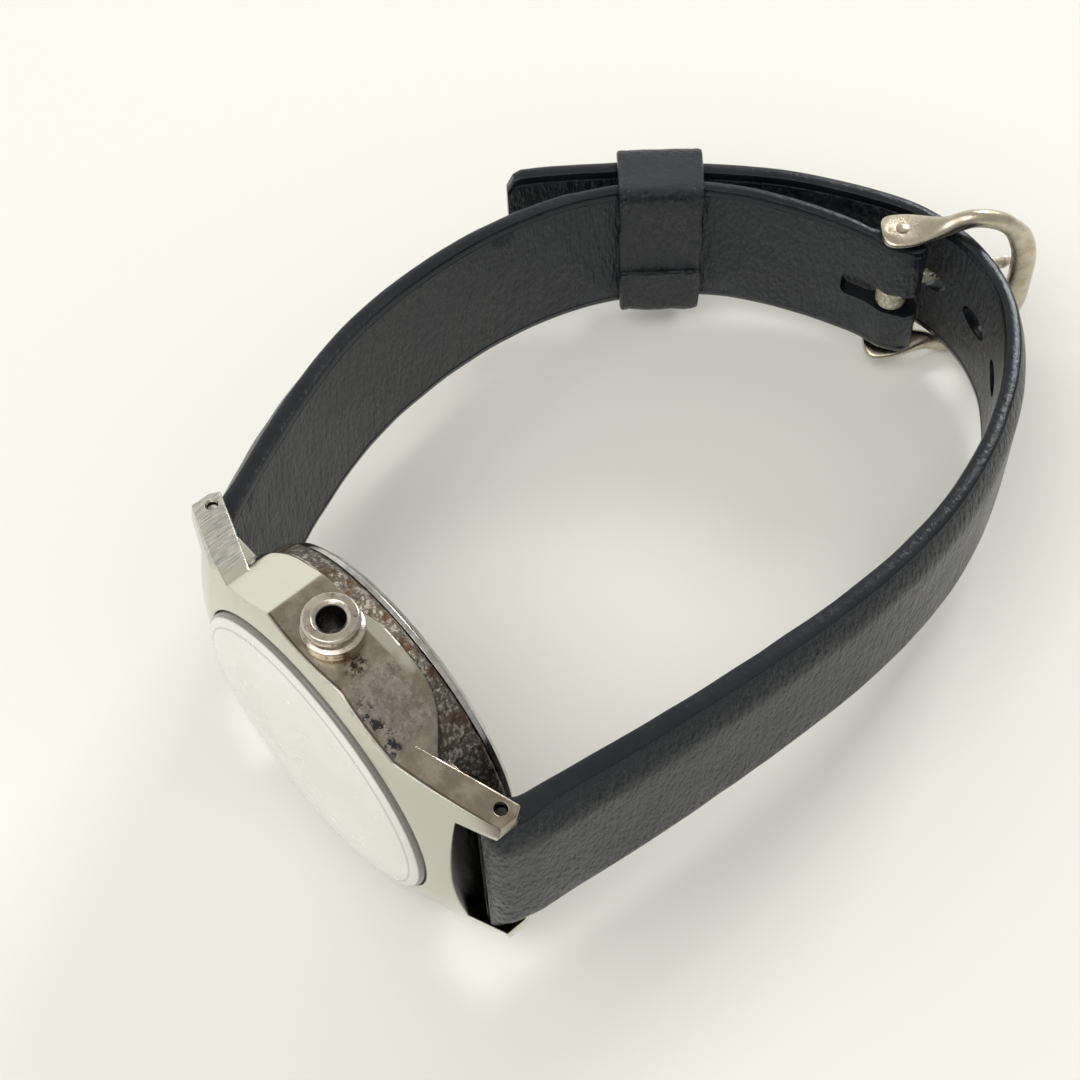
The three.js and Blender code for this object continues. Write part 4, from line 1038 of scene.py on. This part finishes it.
def oval_tool(distance):
    s, place, along = min(long_line, key=lambda station: abs(station[0] - distance))
    place = place + along * (distance - s)
    out = turn_right(along)
    sides = 28
    points = []
    for level in (-4, 4):
        for k in range(sides):
            turn = 2 * math.pi * k / sides
            spot = place + along * math.cos(turn) * HOLE_LONG / 2 + out * level
            points.append((spot.x, spot.y, math.sin(turn) * HOLE_WIDE / 2))
    faces = [tuple(range(sides)), tuple(range(2 * sides - 1, sides - 1, -1))]
    faces += [(k, k + sides, (k + 1) % sides + sides, (k + 1) % sides) for k in range(sides)]
    return tool_mesh("hole_tool", points, faces, 0, EDGE, STRAP_SKINS)


carve(long_piece, [oval_tool(TONGUE_HOLE + i * HOLE_SPACING) for i in range(-2, 4)])
soften(long_piece, 40)
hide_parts("strap_long")

# ---------------------------------------------------------------- keeper
# A loop of the same leather round both strap parts. Its ends overlap and are glued on the wrist side, where the
# top layer ends in a pressed patch.
KEEPER_X, KEEPER_Y, KEEPER_ANGLE = -19.85, 51.0, 50
KEEPER_LOW, KEEPER_HIGH, KEEPER_HALF, KEEPER_WALL = -1.1, 4.9, 8.45, 0.55


def in_plane(x, y, degrees):
    """Places outward, across and along offsets at a spot of the strap or the buckle."""
    turn = math.radians(degrees)
    along = Vector((math.cos(turn), math.sin(turn), 0))
    out = Vector((-along.y, along.x, 0))
    start = Vector((x, y, 0))
    return lambda o, a, l: tuple(start + out * o + along * l + Vector((0, 0, a)))


def rounded_loop(low, high, half_width, corner, per_corner=6, per_side=10):
    """Points of a rounded rectangle, with the outward direction at each."""
    ring = []
    centres = [(high - corner, half_width - corner, 0), (low + corner, half_width - corner, 90),
               (low + corner, -half_width + corner, 180), (high - corner, -half_width + corner, 270)]
    for index, (o, a, start) in enumerate(centres):
        for k in range(per_corner + 1):
            turn = math.radians(start + 90 * k / per_corner)
            ring.append(
                (o + corner * math.cos(turn), a + corner * math.sin(turn), math.cos(turn), math.sin(turn)))
        o2, a2, _ = centres[(index + 1) % 4]
        turn = math.radians(start + 90)
        for k in range(1, per_side):
            t = k / per_side
            ring.append((o + (o2 - o) * t + corner * math.cos(turn), a + (a2 - a) * t + corner * math.sin(turn),
                         math.cos(turn), math.sin(turn)))
    return ring


keeper_at = in_plane(KEEPER_X, KEEPER_Y, KEEPER_ANGLE)
BAND_SECTION = [
    (0.0, -3.6, LINING), (0.0, 0.0, LINING), (0.0, 3.6, EDGE), (0.12, 3.76, EDGE), (0.4, 3.8, EDGE),
    (0.64, 3.72, OUTER),
    (0.75, 3.5, OUTER), (0.76, 3.1, OUTER), (0.72, 2.9, OUTER), (0.76, 2.6, OUTER), (0.78, 1.3, OUTER),
    (0.78, 0.0, OUTER),
    (0.78, -1.3, OUTER), (0.76, -2.6, OUTER), (0.72, -2.9, OUTER), (0.76, -3.1, OUTER), (0.75, -3.5, OUTER),
    (0.64, -3.72, EDGE), (0.4, -3.8, EDGE), (0.12, -3.76, EDGE),
]
keeper_points, keeper_faces, keeper_slots = [], [], []
loop = rounded_loop(
    KEEPER_LOW + KEEPER_WALL, KEEPER_HIGH - KEEPER_WALL, KEEPER_HALF - KEEPER_WALL, 0.7, per_side=14)
PATCH_FROM, PATCH_RIDGE, PATCH_LIFT = -2.5, 2.2, 0.34
BAND_WALL = 0.78                # thickness that the band section is drawn at
low_side = next(i for i, spot in enumerate(loop) if spot[2] < -0.99 and spot[1] < PATCH_FROM)
o, _, out_o, out_a = loop[low_side]
loop[low_side:low_side] = [(o, PATCH_FROM + 0.06, out_o, out_a), (o, PATCH_FROM - 0.06, out_o, out_a)]
for o, a, out_o, out_a in loop:
    lift = PATCH_LIFT if out_o < -0.5 and a < PATCH_FROM else 0.0
    for n, l, _ in BAND_SECTION:
        thick = n * (KEEPER_WALL + lift) / BAND_WALL if n > 0.3 else n
        wave = 0.05 * noise.noise(Vector((o, a, l)) * 0.6) if n > 0.3 else 0
        wave += 0.09 * math.sin(l * 2 * math.pi / PATCH_RIDGE) if lift and n > 0.7 else 0
        keeper_points.append(
            keeper_at(o + out_o * (thick + wave), a + out_a * (thick + wave), l * (1 + 0.02 * math.sin(a))))
count = len(BAND_SECTION)
for i in range(len(loop)):
    n = (i + 1) % len(loop)
    for k in range(count):
        m = (k + 1) % count
        keeper_faces.append((i * count + k, i * count + m, n * count + m, n * count + k))
        keeper_slots.append(BAND_SECTION[k][2])
keeper_skin = leather(
    "keeper_skin", (0.004, 0.005, 0.007), (0.009, 0.010, 0.013), (0.20, 0.30), 0.5, 0.30, 2.2, 0.34)
keeper_piece = new_piece(
    "keeper_loop", "keeper_loop", "strap_leather", [keeper_skin, edge_skin, lining_skin], keeper_points,
    keeper_faces, 40, keeper_slots)
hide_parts("keeper")

# ---------------------------------------------------------------- buckle
# A bent steel rod, nickel plated with a warm tint: each arm end is hammered to a flat eye, the front is pressed
# flat, and a headed bar joins the eyes and carries the tongue. Verdigris has crept out of the tongue's eye.
BUCKLE_REACH, BUCKLE_HALF = 11.7, 8.05   # front of the frame from the bar, and its arms from the middle
EYE_R = 1.85
buckle_at = in_plane(BUCKLE_X, BUCKLE_Y, BUCKLE_ANGLE)
plated, plated_tree, plated_shader = new_material("plated_steel")
plated_place = watch_place(plated_tree)
plated_tone = noise_mask(plated_tree, plated_place, 0.3, 0.7, 0.7, 5, 0.6)
green = noise_mask(plated_tree, plated_place, 0.60, 0.70, 1.4, 6, 0.7)
plated_colour = mixed(plated_tree, plated_tone, (0.62, 0.565, 0.455), (0.46, 0.405, 0.31))
plated_colour = mixed(plated_tree, product(plated_tree, green, 0.45), plated_colour, (0.22, 0.21, 0.12))
plated_tree.links.new(plated_colour, plated_shader.inputs["Base Color"])
plated_shader.inputs["Metallic"].default_value = 1.0
handled_finish(plated_tree, plated_shader, 0.25, 0.16, 0.3, 0.03)


def swept(places, sections, at):
    """A closed rod along places in a plane; each section is (out of plane, in plane) half sizes and squareness."""
    sides = 28
    points, faces = [], []
    for i, (l, a) in enumerate(places):
        before, after = places[max(0, i - 1)], places[min(len(places) - 1, i + 1)]
        direction = (Vector(after) - Vector(before)).normalized()
        across = Vector((direction.y, -direction.x))
        half_out, half_in, power = sections[i]
        for k in range(sides):
            turn = 2 * math.pi * k / sides
            c, s = math.cos(turn), math.sin(turn)
            o = half_out * math.copysign(abs(c) ** power, c)
            w = half_in * math.copysign(abs(s) ** power, s)
            points.append(at(o, a + across.y * w, l + across.x * w))
        if i:
            for k in range(sides):
                m = (k + 1) % sides
                faces.append(((i - 1) * sides + k, (i - 1) * sides + m, i * sides + m, i * sides + k))
    last = (len(places) - 1) * sides
    faces += [tuple(range(sides - 1, -1, -1)), tuple(last + k for k in range(sides))]
    return points, faces


FRAME_LINE = [
    (0.0, BUCKLE_HALF), (2.4, BUCKLE_HALF), (3.8, 8.15), (6.2, 8.9), (8.7, 8.25), (10.6, 6.3), (11.55, 3.5),
    (BUCKLE_REACH, 0.0)]
frame_line = FRAME_LINE + [(l, -a) for l, a in reversed(FRAME_LINE[:-1])]
frame_places = [tuple(place) for _, place, _ in smooth_line(frame_line, 0.35)]
eye_steps = [1.84, 1.8, 1.7, 1.53, 1.3, 1.0, 0.7, 0.35]
frame_places = [(-t, BUCKLE_HALF) for t in eye_steps] + frame_places + [
    (-t, -BUCKLE_HALF) for t in reversed(eye_steps)]
frame_sections = []
for l, a in frame_places:
    if l < 0:
        frame_sections.append((EYE_R * max(0.02, 1 - abs(l / EYE_R) ** 3.4) ** (1 / 3.4), 0.4, 0.75))
    elif l < 5 and abs(a) > 7:
        t = l / 5
        frame_sections.append((eased_mix(t, EYE_R, 0.78), eased_mix(t, 0.4, 0.88), eased_mix(t, 0.75, 1)))
    else:
        flat = eased_mix((l - 9.6) / 1.6, 0, 1)
        frame_sections.append((mix(flat, 0.78, 0.72), mix(flat, 0.88, 1.12), mix(flat, 1, 0.8)))
frame_piece = new_piece(
    "buckle_rod", "buckle", "buckle_metal", [plated], *swept(frame_places, frame_sections, buckle_at), 50)
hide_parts("buckle_frame")

bar_section = [(0.01, -8.64), (0.38, -8.64), (0.54, -8.58), (0.6, -8.46), (0.6, 8.46), (0.54, 8.58), (0.38, 8.64),
               (0.01, 8.64)]
bar_points, bar_faces = turned(bar_section, 40)
bar_points = [buckle_at(x, y, z) for x, y, z in bar_points]
bar_piece = new_piece("buckle_pin", "buckle", "buckle_metal", [plated], bar_points, bar_faces, 30)
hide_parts("buckle_bar")

verdigris, verdigris_tree, verdigris_shader = new_material("tongue_metal")
verdigris_place = watch_place(verdigris_tree)
growth = noise_mask(verdigris_tree, verdigris_place, 0.42, 0.58, 1.8, 6, 0.7)
verdigris_split = verdigris_tree.nodes.new("ShaderNodeSeparateXYZ")
verdigris_tree.links.new(verdigris_place, verdigris_split.inputs[0])
near_eye = mask_range(verdigris_tree, verdigris_split.outputs["X"], 1.2, -0.6)
grown = product(verdigris_tree, growth, near_eye)
verdigris_tree.links.new(
    mixed(verdigris_tree, grown, (0.74, 0.68, 0.60), (0.40, 0.40, 0.24)),
    verdigris_shader.inputs["Base Color"])
verdigris_tree.links.new(
    maths(verdigris_tree, "SUBTRACT", 1.0, grown, clamp=True), verdigris_shader.inputs["Metallic"])
verdigris_tree.links.new(
    maths(verdigris_tree, "ADD", product(verdigris_tree, grown, 0.5), 0.2),
    verdigris_shader.inputs["Roughness"])
bumped(verdigris_tree, verdigris_shader, growth, 0.5, 0.06)
TONGUE_LINE = [(-1.0, 0.55), (0.5, 0.85), (3.0, 1.15), (7.0, 1.42), (11.3, 1.42)]
tongue_line = [(s, place) for s, place, _ in smooth_line(TONGUE_LINE, 0.4)]
tongue_length = tongue_line[-1][0]
tongue_points, tongue_faces = [], []
SIDES = 20
for i, (s, place) in enumerate(tongue_line):
    left = tongue_length - s
    close = math.sqrt(min(1, max(0.02, left / 0.8)))
    for k in range(SIDES):
        turn = 2 * math.pi * k / SIDES
        drift = mix(place.x / TONGUE_LINE[-1][0], TONGUE_Z, TONGUE_TIP_Z)
        tongue_points.append(
            buckle_at(place.y + 0.5 * close * math.cos(turn), drift + 0.75 * close * math.sin(turn), place.x))
    if i:
        for k in range(SIDES):
            m = (k + 1) % SIDES
            tongue_faces.append(((i - 1) * SIDES + k, (i - 1) * SIDES + m, i * SIDES + m, i * SIDES + k))
last = (len(tongue_line) - 1) * SIDES
tongue_faces += [tuple(range(SIDES - 1, -1, -1)), tuple(last + k for k in range(SIDES))]
eye_points, eye_faces = turned(eased([(0.82, -1.0), (1.4, -1.0), (1.4, 1.0), (0.82, 1.0)], 0.1), 48)
eye_points = [buckle_at(x, y + TONGUE_Z, z) for x, y, z in eye_points]
tongue_piece = new_piece("tongue_prong", "tongue", "buckle_metal", [verdigris],
                         *gathered([(tongue_points, tongue_faces), (eye_points, eye_faces)]), 40)
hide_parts("buckle_tongue")

# ---------------------------------------------------------------- spring bars, movement and hands as they are
# Pieces whose made shape is already right get their finish here: brushed nickel plates, gilt wheels, blued
# screws and hairspring, a rubber gasket, and steel bars, whose pins at six o'clock are tarnished.


def brushed(name, dark, light, rough, stretch):
    material, tree, shader = new_material(name)
    place = watch_place(tree)
    stroke = noise_of(tree, place, 2.4, 4, 0.6, stretch)
    tree.links.new(mixed(tree, stroke, dark, light), shader.inputs["Base Color"])
    tree.links.new(maths(tree, "ADD", product(tree, stroke, 0.25), rough), shader.inputs["Roughness"])
    shader.inputs["Metallic"].default_value = 1.0
    bumped(tree, shader, stroke, 0.2, 0.02)
    return material


nickel = brushed("brushed_nickel", (0.50, 0.49, 0.46), (0.70, 0.69, 0.66), 0.18, (0.3, 3, 6))
gilt = brushed("gilt_brass", (0.62, 0.45, 0.18), (0.80, 0.62, 0.30), 0.20, (4, 4, 4))
blued = brushed("blued_steel", (0.03, 0.05, 0.16), (0.06, 0.10, 0.30), 0.18, (3, 3, 3))
bar_steel = brushed("bar_steel", (0.48, 0.46, 0.43), (0.68, 0.66, 0.62), 0.16, (6, 6, 0.4))
tarnished = brushed("tarnished_steel", (0.03, 0.027, 0.024), (0.10, 0.09, 0.08), 0.35, (6, 6, 0.4))
rubber, rubber_tree, rubber_shader = new_material("gasket_rubber")
rubber_place = watch_place(rubber_tree)
rubber_tone = noise_of(rubber_tree, rubber_place, 3.0, 5, 0.6)
rubber_tree.links.new(
    mixed(rubber_tree, rubber_tone, (0.015, 0.015, 0.015), (0.04, 0.04, 0.038)),
    rubber_shader.inputs["Base Color"])
rubber_shader.inputs["Roughness"].default_value = 0.7
SLOT_FINISH = {
    "movement_nickel": nickel, "wheel_brass": gilt, "blued_steel": blued, "bar_steel": bar_steel,
    "hand_steel": hand_polish, "gasket_rubber": rubber,
}
for part in frame["record"]["subparts"]:
    finish = tarnished if part["node"].startswith("spring_bar_6_pin") else SLOT_FINISH.get(
        part["material_slot"])
    node = frame["nodes"][part["node"]]
    if finish and not node.hide_render:
        for index in range(len(node.material_slots)):
            node.material_slots[index].material = finish
